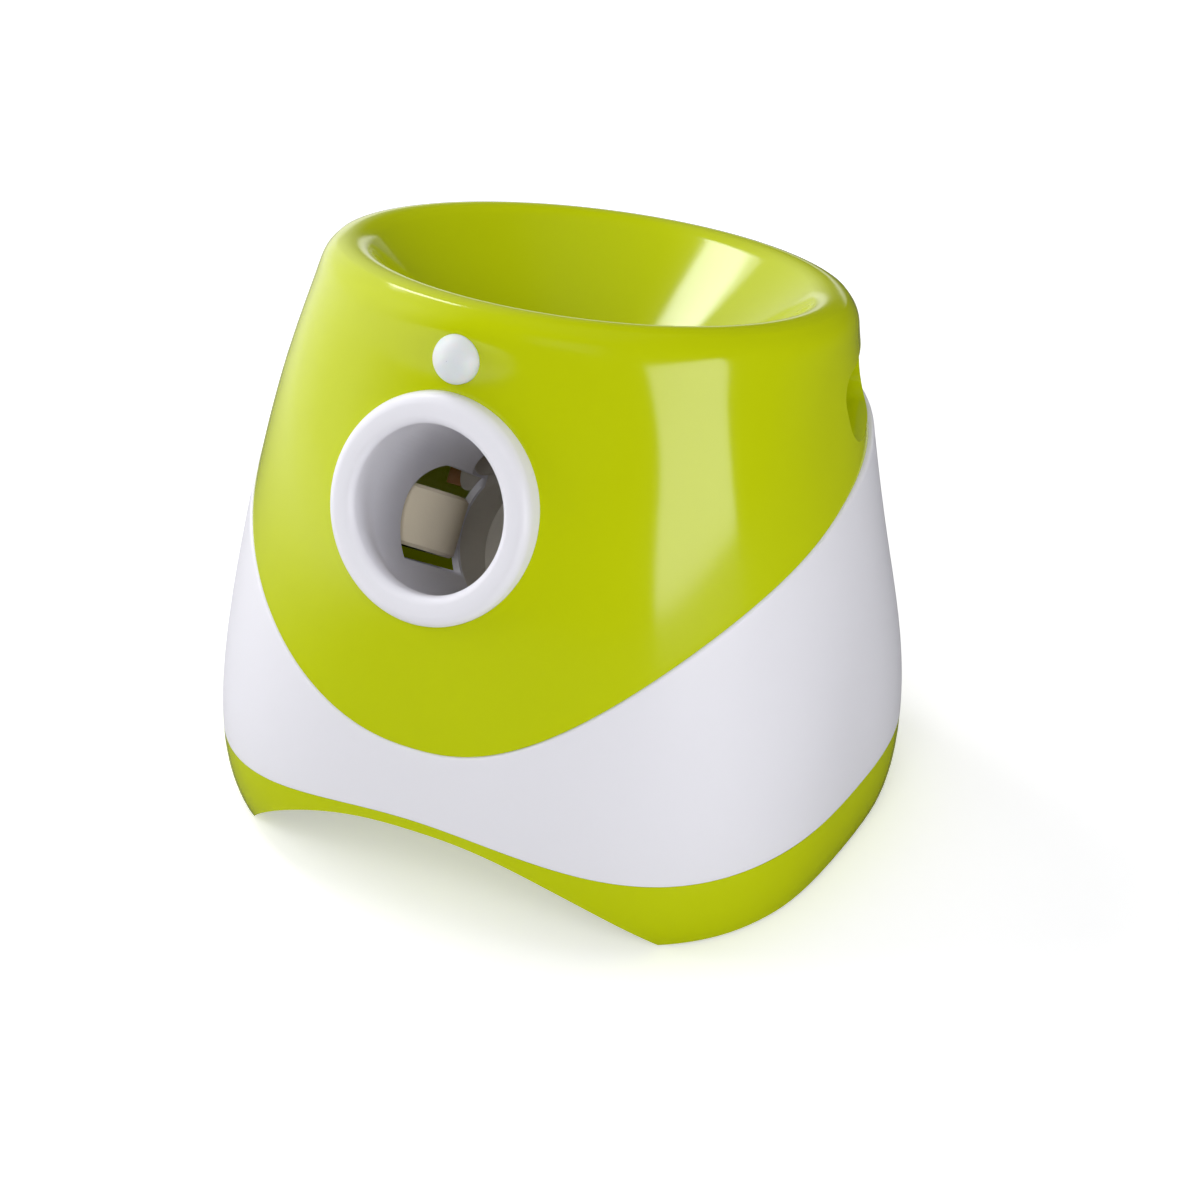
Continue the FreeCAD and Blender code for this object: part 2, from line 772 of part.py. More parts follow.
def gate_path():
    """Space that the gate disc needs between its closed and open places."""
    pad = gate_clearance
    low = gate_bottom - pad
    height = gate_thickness + 2 * pad
    outer = gate_arm + gate_disc_radius + pad
    inner = gate_arm - chute_radius - chute_wall - 1
    pivot = Vector(gate_arm, drop_depth, low)
    sector = Part.makeCylinder(outer, height, pivot, Z_AXIS, gate_swing)
    sector = sector.cut(Part.makeCylinder(inner, height, pivot))
    sector.rotate(pivot, Z_AXIS, 180 - gate_swing)
    half_arm = gate_arm_width / 2 + pad
    arm = box(chute_radius - 7, gate_arm - inner + 1, drop_depth - half_arm, drop_depth + half_arm,
              low, low + height)
    return sector.multiFuse([upright(gate_disc_radius + pad, low, low + height, 0, drop_depth), arm])


def make_feed_chute():
    """Chute between the bowl and the tube, with the plate that carries the gate drive."""
    outer = upright(chute_radius + chute_wall, 8, chute_top, 0, drop_depth)
    plate = rounded_box(20, bracket_reach, drop_depth - 15, drop_depth + 31, bracket_bottom,
                        bracket_bottom + bracket_thickness, 6.0, Z_AXIS)
    boss = upright(gate_shaft_radius + 3, bracket_bottom - 5, bracket_bottom + bracket_thickness + 0.5,
                   gate_arm, drop_depth)
    chute = outer.multiFuse([plate, boss])
    pinion = pinion_centre()
    cutters = [barrel_rod(tube_radius + seam_gap, 0, 160), gate_path(),
               upright(chute_radius, -10, 80, 0, drop_depth),
               upright(gate_shaft_radius + running_gap, 0, 60, gate_arm, drop_depth),
               upright(gear_motor_nose + 0.3, 0, 60, pinion.x, pinion.y)]
    return placed(chute.cut(fused(cutters)), BARREL)


def make_wheel_hub(side):
    """Spoked hub of one friction wheel."""
    rim_radius = wheel_radius - tyre_thickness - running_gap
    x = side * wheel_offset
    rim = upright(rim_radius, wheel_bottom, wheel_top, x, wheel_depth)
    rim = rim.cut(upright(rim_radius - 3, wheel_bottom - 1, wheel_top + 1, x, wheel_depth))
    web = upright(rim_radius - 1, -wheel_drop - 2, -wheel_drop + 2, x, wheel_depth)
    for step in range(6):
        angle = math.radians(60 * step)
        web = web.cut(upright(3.5, -20, 20, x + 12 * math.cos(angle), wheel_depth + 12 * math.sin(angle)))
    boss = upright(5.0, wheel_bottom, wheel_top, x, wheel_depth)
    hub = rim.multiFuse([web, boss])
    return placed(hub.cut(upright(wheel_shaft_radius + 0.02, -40, 40, x, wheel_depth)), BARREL)


def make_tyre(side):
    """Soft grey tyre of one friction wheel."""
    x = side * wheel_offset
    tyre = upright(wheel_radius, wheel_bottom, wheel_top, x, wheel_depth)
    tyre = tyre.makeChamfer(1.2, [edge for edge in tyre.Edges if edge.Curve.TypeId == "Part::GeomCircle"])
    bore = upright(wheel_radius - tyre_thickness, -40, 40, x, wheel_depth)
    return placed(tyre.cut(bore), BARREL)


def make_wheel_shaft(side):
    """Steel motor shaft that carries the friction wheel."""
    low = ear_top - ear_thickness - 12
    return placed(upright(wheel_shaft_radius, low, wheel_top + 2, side * wheel_offset, wheel_depth), BARREL)


def make_motor(side):
    """Round direct-current motor hung under its ear."""
    x = side * wheel_offset
    top = ear_top - ear_thickness - 0.2
    low = top - motor_length
    can = upright(motor_radius, low, top, x, wheel_depth)
    can = can.makeChamfer(1.5, [edge for edge in can.Edges if edge.Curve.TypeId == "Part::GeomCircle"])
    flats = []
    tags = []
    for step in (-1, 1):
        near = wheel_depth + step * (motor_radius + 1) - 2.5
        flats.append(box(x - motor_radius, x + motor_radius, near, near + 5, low - 1, top + 1))
        tag_x = x + step * 9
        tags.append(box(tag_x - 1.5, tag_x + 1.5, wheel_depth - 0.4, wheel_depth + 0.4, low - 5, low + 1))
    can = can.cut(fused(flats))
    nose = upright(motor_nose_radius, top - 1, ear_top, x, wheel_depth)
    tail = upright(4.0, low - 3, low + 1, x, wheel_depth)
    motor = can.multiFuse([nose, tail] + tags)
    holes = [upright(wheel_shaft_radius + running_gap, ear_top - ear_thickness - 13, 0, x, wheel_depth)]
    for step in (-1, 1):
        holes.append(upright(pilot_radius, top - 5, top + 1, x + step * motor_screw_spacing, wheel_depth))
    return placed(motor.cut(fused(holes)), BARREL)


def make_motor_screws():
    """Screws that hold the two motors to their ears."""
    screws = []
    for side in (-1, 1):
        for step in (-1, 1):
            x = side * wheel_offset + step * motor_screw_spacing
            shank = upright(pilot_radius - 0.05, ear_top - ear_thickness - 4, ear_top, x, wheel_depth)
            head = upright(2.6, ear_top, ear_top + 1.6, x, wheel_depth)
            screws.append(placed(shank.fuse(head), BARREL))
    return Part.makeCompound(screws)


# ------------------------------------------------------------------ gate drive
def pinion_centre():
    """Pinion axis beside the gate shaft, in the tube's frame."""
    reach = sector_radius + pinion_radius
    angle = math.radians(pinion_bearing)
    return Vector(gate_arm + reach * math.cos(angle), drop_depth + reach * math.sin(angle), 0)


def involute_roll(radius, base_radius):
    """Angle an involute has turned at a radius."""
    if radius <= base_radius:
        return 0.0
    stretch = math.sqrt((radius / base_radius) ** 2 - 1)
    return stretch - math.atan(stretch)


def gear_outline(full_teeth, teeth, first_angle):
    """Closed outline with involute teeth; the rest of a partial gear follows its root circle."""
    pitch = gear_module * full_teeth / 2
    pressure = math.radians(25)
    base_radius = pitch * math.cos(pressure)
    root = pitch - 1.2 * gear_module
    tip = pitch + 0.9 * gear_module
    half_tooth = math.pi / (2 * full_teeth) - gear_backlash / (2 * pitch)
    half_tooth += involute_roll(pitch, base_radius)
    step = 2 * math.pi / full_teeth
    points = []
    for index in range(teeth):
        centre = first_angle + index * step
        radii = (root, (root + pitch) / 2, pitch, tip)
        for radius in radii:
            points.append((radius, centre - half_tooth + involute_roll(radius, base_radius)))
        for radius in reversed(radii):
            points.append((radius, centre + half_tooth - involute_roll(radius, base_radius)))
    if teeth < full_teeth:
        start = first_angle + (teeth - 0.5) * step
        stop = first_angle - 0.5 * step + 2 * math.pi
        for index in range(25):
            points.append((root, start + (stop - start) * index / 24))
    return [Vector(radius * math.cos(angle), radius * math.sin(angle), 0) for radius, angle in points]


def gear_solid(points, centre, low, high):
    """A flat gear from its outline, in the tube's frame."""
    face = Part.Face(Part.makePolygon(points + [points[0]]))
    gear = face.extrude(Vector(0, 0, high - low))
    gear.translate(Vector(centre.x, centre.y, low))
    return gear


def make_gate():
    """Gate disc on its arm."""
    top = gate_bottom + gate_thickness
    disc = upright(gate_disc_radius, gate_bottom, top, 0, drop_depth)
    half_arm = gate_arm_width / 2
    arm = box(chute_radius - 6, gate_arm, drop_depth - half_arm, drop_depth + half_arm, gate_bottom, top)
    hub = upright(8.0, gate_bottom, top, gate_arm, drop_depth)
    gate = disc.multiFuse([arm, hub])
    return placed(gate.cut(upright(gate_shaft_radius + 0.02, 0, 60, gate_arm, drop_depth)), BARREL)


def make_gate_shaft():
    """Steel shaft of the gate."""
    return placed(upright(gate_shaft_radius, bracket_bottom - 6, gate_bottom + gate_thickness + 1.5,
                          gate_arm, drop_depth), BARREL)


def make_gate_sector():
    """Toothed sector that turns the gate."""
    step = 360 / sector_teeth_full
    teeth = int(gate_swing / step) + 3
    first = math.radians(pinion_bearing - step)
    points = gear_outline(sector_teeth_full, teeth, first)
    pivot = Vector(gate_arm, drop_depth, 0)
    gear = gear_solid(points, pivot, gear_bottom, gear_bottom + gear_width)
    start = pinion_bearing + (teeth - 1.0) * step
    corner = Vector(gate_arm, drop_depth, gear_bottom - 1)
    relief = Part.makeCylinder(sector_radius + 5, gear_width + 2, corner, Z_AXIS, 360 - (teeth + 1.5) * step)
    relief = relief.cut(upright(9.0, gear_bottom - 2, gear_bottom + gear_width + 3, gate_arm, drop_depth))
    relief.rotate(pivot, Z_AXIS, start + 0.25 * step)
    gear = gear.cut(relief)
    gear = gear.fuse(upright(6.0, bracket_bottom + bracket_thickness + 0.8, gate_bottom - 0.05,
                             gate_arm, drop_depth))
    return placed(gear.cut(upright(gate_shaft_radius + 0.02, 0, 60, gate_arm, drop_depth)), BARREL)


def make_gate_pinion():
    """Pinion on the gear motor's shaft, with the shaft."""
    centre = pinion_centre()
    half_step = math.pi / pinion_teeth
    towards_sector = math.radians(pinion_bearing + 180)
    points = gear_outline(pinion_teeth, pinion_teeth, towards_sector + half_step)
    gear = gear_solid(points, centre, gear_bottom, gear_bottom + gear_width)
    shaft = upright(pinion_shaft_radius, bracket_bottom - 8, gear_bottom + gear_width + 2,
                    centre.x, centre.y)
    return placed(gear.fuse(shaft), BARREL)


def make_gear_motor():
    """Small motor with a gearbox under the gate drive plate."""
    centre = pinion_centre()
    top = bracket_bottom - 0.2
    gearbox = rounded_box(centre.x - 9, centre.x + 9, centre.y - 9, centre.y + 9,
                          top - 16, top, 3.0, Z_AXIS)
    can = upright(7.5, top - 36, top - 15, centre.x, centre.y)
    nose = upright(gear_motor_nose, top - 1, bracket_bottom + bracket_thickness, centre.x, centre.y)
    motor = gearbox.multiFuse([can, nose])
    hole = upright(pinion_shaft_radius + running_gap, bracket_bottom - 9, 60, centre.x, centre.y)
    return placed(motor.cut(hole), BARREL)


def make_ball_sensors():
    """Light gate pair on the outside of the chute."""
    x = chute_radius + chute_wall + 0.2
    sensor = box(x, x + 6, drop_depth - 4, drop_depth + 4, 13, 22)
    return Part.makeCompound([placed(side, BARREL) for side in both_sides(sensor)])


# ------------------------------------------------------------------ motion sensor
def make_sensor_lens():
    """Domed frosted lens with the flange that seats behind the shell."""
    low = -shell_wall - lens_seat - lens_flange_thickness
    flange = rod(lens_radius + lens_flange, Vector(0, 0, low), Vector(0, 0, low + lens_flange_thickness))
    barrel = rod(lens_radius, Vector(0, 0, low), Vector(0, 0, 1))
    sphere_radius = 10.0
    sink = math.sqrt(sphere_radius ** 2 - lens_radius ** 2)
    dome = Part.makeSphere(sphere_radius, Vector(0, 0, 1 - sink))
    dome = dome.common(rod(lens_radius, Vector(0, 0, 1), Vector(0, 0, 30)))
    inside = Part.makeSphere(sphere_radius - 1.2, Vector(0, 0, 1 - sink))
    inside = inside.fuse(rod(lens_radius - 1.2, Vector(0, 0, low - 1), Vector(0, 0, 1)))
    return placed(flange.multiFuse([barrel, dome]).cut(inside), LENS)


def make_sensor_holder():
    """Sleeve between the lens flange and the sensor board."""
    top = -shell_wall - lens_seat - lens_flange_thickness - 0.2
    return placed(pipe(lens_radius + lens_flange, lens_radius, Vector(0, 0, sensor_board_top + 0.1),
                       Vector(0, 0, top)), LENS)


def make_sensor_board():
    """Round circuit board of the motion sensor."""
    return placed(rod(lens_radius + lens_flange, Vector(0, 0, sensor_board_top - 1.6),
                      Vector(0, 0, sensor_board_top)), LENS)


def make_sensor_can():
    """Metal can of the motion sensor."""
    can = rod(4.1, Vector(0, 0, sensor_board_top + 0.1), Vector(0, 0, sensor_board_top + 4.3))
    brim = rod(4.7, Vector(0, 0, sensor_board_top + 0.1), Vector(0, 0, sensor_board_top + 0.7))
    window = box(-1.5, 1.5, -2, 2, sensor_board_top + 4.0, sensor_board_top + 5)
    return placed(can.fuse(brim).cut(window), LENS)


# ------------------------------------------------------------------ controls
def make_control_panel():
    """Recessed rear panel with a rim, button holes, light holes and board posts."""
    x = panel_width / 2
    z_low = panel_z - panel_height / 2
    z_high = panel_z + panel_height / 2
    back = panel_face_y - panel_thickness
    block = rounded_box(-x, x, back, panel_face_y + panel_rim, z_low, z_high, panel_corner, Y_AXIS)
    recess = rounded_box(-x + 2, x - 2, panel_face_y, 140, z_low + 2, z_high - 2, panel_corner - 2, Y_AXIS)
    panel = block.cut(recess)
    posts = [rod(2.2, Vector(px, key_board_y + 0.1, pz), Vector(px, back + 1, pz))
             for px in (-post_x, post_x) for pz in (panel_z - post_z, panel_z + post_z)]
    panel = panel.multiFuse(posts)
    holes = [rod(button_radius, Vector(step * button_spacing / 2, 80, panel_z),
                 Vector(step * button_spacing / 2, 140, panel_z)) for step in (-1, 1)]
    holes += light_bars(light_radius + 0.1, 80, 140)
    return panel.cut(fused(holes))


def light_bars(radius, y_low, y_high):
    """Three round bars on the status light centres."""
    return [rod(radius, Vector(0, y_low, panel_z + step * light_spacing),
                Vector(0, y_high, panel_z + step * light_spacing)) for step in (-1, 0, 1)]


def make_light_pipes():
    """Clear rods that carry the status lights to the panel."""
    return Part.makeCompound(light_bars(light_radius, key_board_y + 2.2, panel_face_y + 0.5))


def make_button(x):
    """Round push button with its flange and stem."""
    face = panel_face_y + button_proud
    back = panel_face_y - panel_thickness
    cap = rod(button_radius - button_gap, Vector(x, back - 1.5, panel_z), Vector(x, face, panel_z))
    rim = [edge for edge in cap.Edges if edge.CenterOfMass.y > face - 0.01]
    cap = cap.makeFillet(1.0, rim)
    flange = rod(button_radius + 1.5, Vector(x, back - 1.5, panel_z), Vector(x, back - 0.3, panel_z))
    stem = rod(2.0, Vector(x, switch_tip_y + button_travel + 0.1, panel_z), Vector(x, back - 1, panel_z))
    return cap.multiFuse([flange, stem])


def make_key_board():
    """Circuit board behind the rear panel."""
    return box(-post_x - 4, post_x + 4, key_board_y - 1.6, key_board_y,
               panel_z - post_z - 3, panel_z + post_z + 3)


def make_tact_switches():
    """Two small switches and three status lights on the key board."""
    pieces = []
    for step in (-1, 1):
        x = step * button_spacing / 2
        body = box(x - 3, x + 3, key_board_y + 0.05, key_board_y + 2.6, panel_z - 3, panel_z + 3)
        pieces.append(body.fuse(rod(1.6, Vector(x, key_board_y + 2, panel_z), Vector(x, switch_tip_y, panel_z))))
    for step in (-1, 0, 1):
        z = panel_z + step * light_spacing
        pieces.append(box(-1.6, 1.6, key_board_y + 0.05, key_board_y + 1.9, z - 1.6, z + 1.6))
    return Part.makeCompound(pieces)


def make_power_inlet():
    """Round low-voltage inlet with its centre pin."""
    mouth_y_place = jack_face_y
    body = box(jack_x - 6.5, jack_x + 6.5, mouth_y_place - 17, mouth_y_place - 6.5, jack_z - 6, jack_z + 6)
    collar = rod(jack_radius, Vector(jack_x, mouth_y_place - 7, jack_z), Vector(jack_x, mouth_y_place, jack_z))
    inlet = body.fuse(collar)
    inlet = inlet.cut(rod(jack_bore, Vector(jack_x, mouth_y_place - 10, jack_z), Vector(jack_x, 140, jack_z)))
    return inlet.fuse(rod(1.0, Vector(jack_x, mouth_y_place - 11, jack_z), Vector(jack_x, mouth_y_place - 1.5, jack_z)))


# ------------------------------------------------------------------ electronics
def make_main_board():
    """Main circuit board on its standoffs."""
    board = box(-board_half_x, board_half_x, board_y - board_half_y, board_y + board_half_y,
                board_z + 0.1, board_z + 1.7)
    return board.cut(fused(board_bars(screw_radius, board_z - 1, board_z + 3)))


def make_board_screws():
    """Four screws that hold the main board."""
    shanks = board_bars(pilot_radius - 0.1, board_z - 5, board_z + 2)
    heads = board_bars(2.6, board_z + 1.75, board_z + 3.2)
    return Part.makeCompound([shank.fuse(head) for shank, head in zip(shanks, heads)])


def make_board_parts():
    """Relay, capacitors, processor, transistors and plugs on the main board."""
    deck = board_z + 1.75
    relay = box(-34, -16, board_y - 8, board_y + 6, deck, deck + 15)
    capacitors = [rod(5.0, Vector(x, board_y + 12, deck), Vector(x, board_y + 12, deck + 14)) for x in (-6, 8)]
    processor = box(0, 14, board_y - 10, board_y - 1, deck, deck + 1.8)
    transistors = [box(x, x + 10, board_y + 2, board_y + 6.5, deck, deck + 15) for x in (20, 33)]
    plugs = [box(x, x + 10, board_y - 20, board_y - 14, deck, deck + 6) for x in (-30, -12, 6, 24)]
    return Part.makeCompound([relay, processor] + capacitors + transistors + plugs)


def make_buzzer():
    """Round buzzer that warns before a launch."""
    deck = board_z + 1.75
    body = rod(6.0, Vector(28, board_y - 5, deck), Vector(28, board_y - 5, deck + 9))
    return body.cut(rod(1.2, Vector(28, board_y - 5, deck + 5), Vector(28, board_y - 5, deck + 12)))


def main():
    """Build every sub-part."""
    export("top_shell", make_top_shell())
    export("lower_shell", make_lower_shell())
    export("base_tray", make_base_tray())
    export("foot_pads", make_foot_pads())
    export("case_screws", make_case_screws())
    export("battery_door", make_battery_door())
    export("battery_door_screws", make_door_screws())
    export("battery_cells", make_battery_cells())
    export("battery_contacts", make_battery_contacts())
    export("launch_tube", make_launch_tube())
    export("breech_cap", make_breech_cap())
    export("feed_chute", make_feed_chute())
    for name, side in (("left", -1), ("right", 1)):
        export("wheel_hub_" + name, make_wheel_hub(side))
        export("wheel_tyre_" + name, make_tyre(side))
        export("wheel_shaft_" + name, make_wheel_shaft(side))
        export("wheel_motor_" + name, make_motor(side))
    export("motor_screws", make_motor_screws())
    export("gate_disc", make_gate())
    export("gate_shaft", make_gate_shaft())
    export("gate_sector", make_gate_sector())
    export("gate_pinion", make_gate_pinion())
    export("gate_gear_motor", make_gear_motor())
    export("ball_sensors", make_ball_sensors())
    export("sensor_lens", make_sensor_lens())
    export("sensor_holder", make_sensor_holder())
    export("sensor_board", make_sensor_board())
    export("sensor_can", make_sensor_can())
    export("control_panel", make_control_panel())
    export("light_pipes", make_light_pipes())
    export("power_button", make_button(-button_spacing / 2))
    export("distance_button", make_button(button_spacing / 2))
    export("key_board", make_key_board())
    export("switches_and_lights", make_tact_switches())
    export("power_inlet", make_power_inlet())
    export("main_board", make_main_board())
    export("board_screws", make_board_screws())
    export("board_parts", make_board_parts())
    export("buzzer", make_buzzer())


main()
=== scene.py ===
"""Automatic dog ball launcher: the dressed model. Sizes are in millimetres until a mesh is made."""

import json
import logging
import math
from dataclasses import dataclass, field
from enum import Enum
from typing import Callable, Iterable, Sequence

import bmesh
import bpy
import numpy as np
from mathutils import Matrix, Vector
from mathutils.bvhtree import BVHTree

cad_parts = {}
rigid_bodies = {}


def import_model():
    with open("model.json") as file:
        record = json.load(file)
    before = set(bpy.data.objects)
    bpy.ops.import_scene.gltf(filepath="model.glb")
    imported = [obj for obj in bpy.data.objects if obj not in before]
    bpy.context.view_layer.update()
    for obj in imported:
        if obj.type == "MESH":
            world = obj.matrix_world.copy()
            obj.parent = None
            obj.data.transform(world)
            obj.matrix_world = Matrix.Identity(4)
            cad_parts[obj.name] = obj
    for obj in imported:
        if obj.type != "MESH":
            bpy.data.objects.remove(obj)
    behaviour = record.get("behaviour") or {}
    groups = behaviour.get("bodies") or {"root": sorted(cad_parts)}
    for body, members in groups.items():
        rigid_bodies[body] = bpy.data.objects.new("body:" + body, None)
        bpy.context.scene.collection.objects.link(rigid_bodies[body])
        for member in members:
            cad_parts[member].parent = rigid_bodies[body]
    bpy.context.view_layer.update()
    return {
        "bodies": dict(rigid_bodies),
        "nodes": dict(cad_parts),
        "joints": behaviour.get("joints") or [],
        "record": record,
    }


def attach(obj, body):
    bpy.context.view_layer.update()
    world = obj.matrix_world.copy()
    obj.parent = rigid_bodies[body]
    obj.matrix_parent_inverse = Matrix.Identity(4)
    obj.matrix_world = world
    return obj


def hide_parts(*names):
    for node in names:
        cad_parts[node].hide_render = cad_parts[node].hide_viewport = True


LOG = logging.getLogger("launcher")
METRES = 0.001
COLUMNS = 320
HALVINGS = 26
CREASE_DEGREES = 32.0
FRAME_PIXELS = 1179
SENSOR_WIDTH = 36.0
WHITE_LIGHT = (1, 1, 1, 1)
DUST_COLOUR = (0.62, 0.60, 0.56, 1)
BUMP_STRENGTH = 0.35
SUBSURFACE_SCALE = 0.004

SEAM_LOW, SEAM_RISE = 72.0, 83.6
SEAM_ANGLE, SEAM_POWER = 50.5, 2.3
TRAY_LOW, TRAY_RISE, TRAY_REACH = 29.0, 13.5, 108.5

HeightRule = Callable[[np.ndarray, np.ndarray], np.ndarray]
Pair = tuple[float, float]
Triple = tuple[float, float, float]


class Part(Enum):
    """Bodies that the dressed pieces ride on."""

    CASE = "case"


# ---- frames and skins
@dataclass(frozen=True)
class TiltFrame:
    """A frame turned about X, with its origin in the middle plane."""

    y: float
    z: float
    turn: float

    def place(self, points: np.ndarray) -> np.ndarray:
        """Carry points, three values each, from this frame into the object's frame."""
        angle = math.radians(self.turn)
        out = np.array(points, dtype=float)
        along = np.array(points[..., 1], dtype=float)
        up = np.array(points[..., 2], dtype=float)
        out[..., 1] = self.y + along * math.cos(angle) - up * math.sin(angle)
        out[..., 2] = self.z + along * math.sin(angle) + up * math.cos(angle)
        return out


BARREL = TiltFrame(-92.7, 157.9, -35.0)
BEZEL = TiltFrame(-92.7, 157.9, 90 - 19.3)
LENS = TiltFrame(-75.3, 206.9, 90 - 18.0)
HOPPER = TiltFrame(19.6, 192.0, -13.8)


@dataclass(frozen=True)
class Station:
    """One ring of the body: a superellipse that leans back."""

    height: float
    half_width: float
    half_depth: float
    squareness: float
    centre_y: float
    tilt: float
    level: float


@dataclass(frozen=True)
class BodySkin:
    """The body's outer surface through its rings, with the white shell's proud sizes."""

    stations: tuple[Station, ...] = (
        Station(1, 115, 99, 2.9, -2.5, 0, 0.0),
        Station(20, 119, 107.8, 2.7, -2.2, 0, 0.10111),
        Station(46, 119.5, 110.1, 2.6, -1.9, 0, 0.23289),
        Station(98.5, 115.5, 109.5, 2.2, 0.9, 4.8, 0.50394),
        Station(140, 107.4, 102.2, 2.2, 6.0, 9.4, 0.72125),
        Station(192, 96.5, 96.5, 2.0, 19.6, 13.8, 1.0),
    )
    proud_side: float = 1.2
    proud_depth: float = 1.8
    proud_back_shift: float = 1.6

    def rings(self, angles: np.ndarray, inset: float, proud: float) -> np.ndarray:
        """Points of every ring at the given angles.

        Args:
            angles: ring angles in radians.
            inset: distance moved in.
            proud: 1 for the white shell, 0 for the green one.

        Returns:
            An array of rings by angles by three.
        """
        rows = []
        for ring in self.stations:
            lean = math.radians(ring.tilt)
            power = 2 / ring.squareness
            cos_a = np.sign(np.cos(angles)) * np.abs(np.cos(angles)) ** power
            sin_a = np.sign(np.sin(angles)) * np.abs(np.sin(angles)) ** power
            across = (ring.half_width + proud * self.proud_side - inset) * cos_a
            along = (ring.half_depth + proud * self.proud_depth - inset) * sin_a
            y = ring.centre_y + proud * self.proud_back_shift + along * math.cos(lean)
            rows.append(np.stack([across, y, ring.height - along * math.sin(lean)], axis=-1))
        return np.array(rows)

    def weights(self, levels: np.ndarray) -> np.ndarray:
        """Share of each ring at the given levels between the lowest and the highest ring."""
        marks = [ring.level for ring in self.stations]
        shares = []
        for own in marks:
            share = np.ones_like(levels)
            for other in marks:
                if other != own:
                    share = share * (levels - other) / (own - other)
            shares.append(share)
        return np.array(shares)

    def points(self, angles: np.ndarray, levels: np.ndarray, inset: float, proud: float) -> np.ndarray:
        """Points of the skin, one level for each angle."""
        shares = self.weights(levels)
        return np.einsum("ka,kac->ac", shares, self.rings(angles, inset, proud))

    def levels(self, angles: np.ndarray, height: HeightRule, inset: float, proud: float) -> np.ndarray:
        """Levels at which the skin reaches a height given by a rule of x and y.

        Args:
            angles: ring angles in radians.
            height: rule that gives the height at x and y.
            inset: distance moved in.
            proud: 1 for the white shell, 0 for the green one.

        Returns:
            One level for each angle.
        """
        low = np.zeros_like(angles)
        high = np.ones_like(angles)
        rings = self.rings(angles, inset, proud)
        for _ in range(HALVINGS):
            middle = (low + high) / 2
            spot = np.einsum("ka,kac->ac", self.weights(middle), rings)
            below = spot[:, 2] < height(spot[:, 0], spot[:, 1])
            low = np.where(below, middle, low)
            high = np.where(below, high, middle)
        return (low + high) / 2

    def row(self, angles: np.ndarray, height: HeightRule, inset: float, proud: float) -> np.ndarray:
        """The row of skin points that lies at a height given by a rule of x and y."""
        return self.points(angles, self.levels(angles, height, inset, proud), inset, proud)

    def rounding(self, angles: np.ndarray, edge: HeightRule, radius: float, turns: np.ndarray,
                 proud: float) -> list[np.ndarray]:
        """Rows over a rounded edge, at turns in degrees; the radius of an upper edge is negative."""
        rows = []
        for turn in np.radians(turns):
            rule = lifted(edge, radius * (1 - math.sin(turn)))
            rows.append(self.row(angles, rule, abs(radius) * (1 - math.cos(turn)), proud))
        return rows


def seam_height(x: np.ndarray, y: np.ndarray) -> np.ndarray:
    """Height of the U-shaped seam at x and y."""
    angle = np.degrees(np.abs(np.arctan2(x, -y)))
    share = (angle / SEAM_ANGLE) ** SEAM_POWER
    return SEAM_LOW + SEAM_RISE * share / (1 + share)


def tray_edge(x: np.ndarray, y: np.ndarray) -> np.ndarray:
    """Height of the tray's upper edge at x."""
    reach = np.minimum(np.abs(x) / TRAY_REACH, 1.0)
    return TRAY_LOW + TRAY_RISE * np.cos(math.pi / 2 * reach) ** 2


def lifted(rule: HeightRule, lift: float) -> HeightRule:
    """The same rule, raised."""
    return lambda x, y: rule(x, y) + lift


def between(low: HeightRule, high: HeightRule, share: float) -> HeightRule:
    """A rule part of the way from one rule to another."""
    return lambda x, y: low(x, y) * (1 - share) + high(x, y) * share


# ---- mesh making
def make_object(name: str, points: np.ndarray, faces: Sequence[Sequence[int]]) -> bpy.types.Object:
    """Make a smooth mesh object from points in millimetres.

    Args:
        name: the object's name.
        points: an array of points, three values each.
        faces: corner numbers of each face.

    Returns:
        The linked object.
    """
    mesh = bpy.data.meshes.new(name)
    spots = (np.asarray(points).reshape(-1, 3) * METRES).tolist()
    mesh.from_pydata(spots, [], [list(face) for face in faces])
    mesh.validate()
    solid = bmesh.new()
    solid.from_mesh(mesh)
    bmesh.ops.remove_doubles(solid, verts=solid.verts, dist=1e-7)
    bmesh.ops.recalc_face_normals(solid, faces=solid.faces)
    solid.to_mesh(mesh)
    solid.free()
    mesh.shade_smooth()
    obj = bpy.data.objects.new(name, mesh)
    bpy.context.scene.collection.objects.link(obj)
    return obj


def grid_faces(rows: int, columns: int, close_rows: bool) -> list[tuple[int, int, int, int]]:
    """Four-cornered faces of a grid that closes round its columns.

    Args:
        rows: number of rows.
        columns: number of columns.
        close_rows: whether the last row joins the first.

    Returns:
        The faces.
    """
    faces = []
    last = rows if close_rows else rows - 1
    for row in range(last):
        after = (row + 1) % rows
        for column in range(columns):
            beside = (column + 1) % columns
            faces.append((row * columns + column, row * columns + beside,
                          after * columns + beside, after * columns + column))
    return faces


def ring_grid(name: str, rows: Sequence[np.ndarray], close_rows: bool) -> bpy.types.Object:
    """Make an object from rows of points that each run once round."""
    grid = np.array(rows)
    return make_object(name, grid, grid_faces(grid.shape[0], grid.shape[1], close_rows))


def eased(rows: Sequence[np.ndarray], passes: int) -> list[np.ndarray]:
    """Move rows toward their neighbours, pass by pass, the first and the last row kept."""
    grid = np.array(rows)
    for _ in range(passes):
        grid[1:-1] = grid[1:-1] * 0.5 + (grid[:-2] + grid[2:]) * 0.25
    return list(grid)


def turns_of(count: int) -> np.ndarray:
    """Equal steps once round, in radians."""
    return np.linspace(0, 2 * math.pi, count, endpoint=False)


def level_ring(angles: np.ndarray, radius: float, height: float) -> np.ndarray:
    """Points of a level circle round the Z axis."""
    up = np.full_like(angles, height)
    return np.stack([radius * np.cos(angles), radius * np.sin(angles), up], axis=-1)


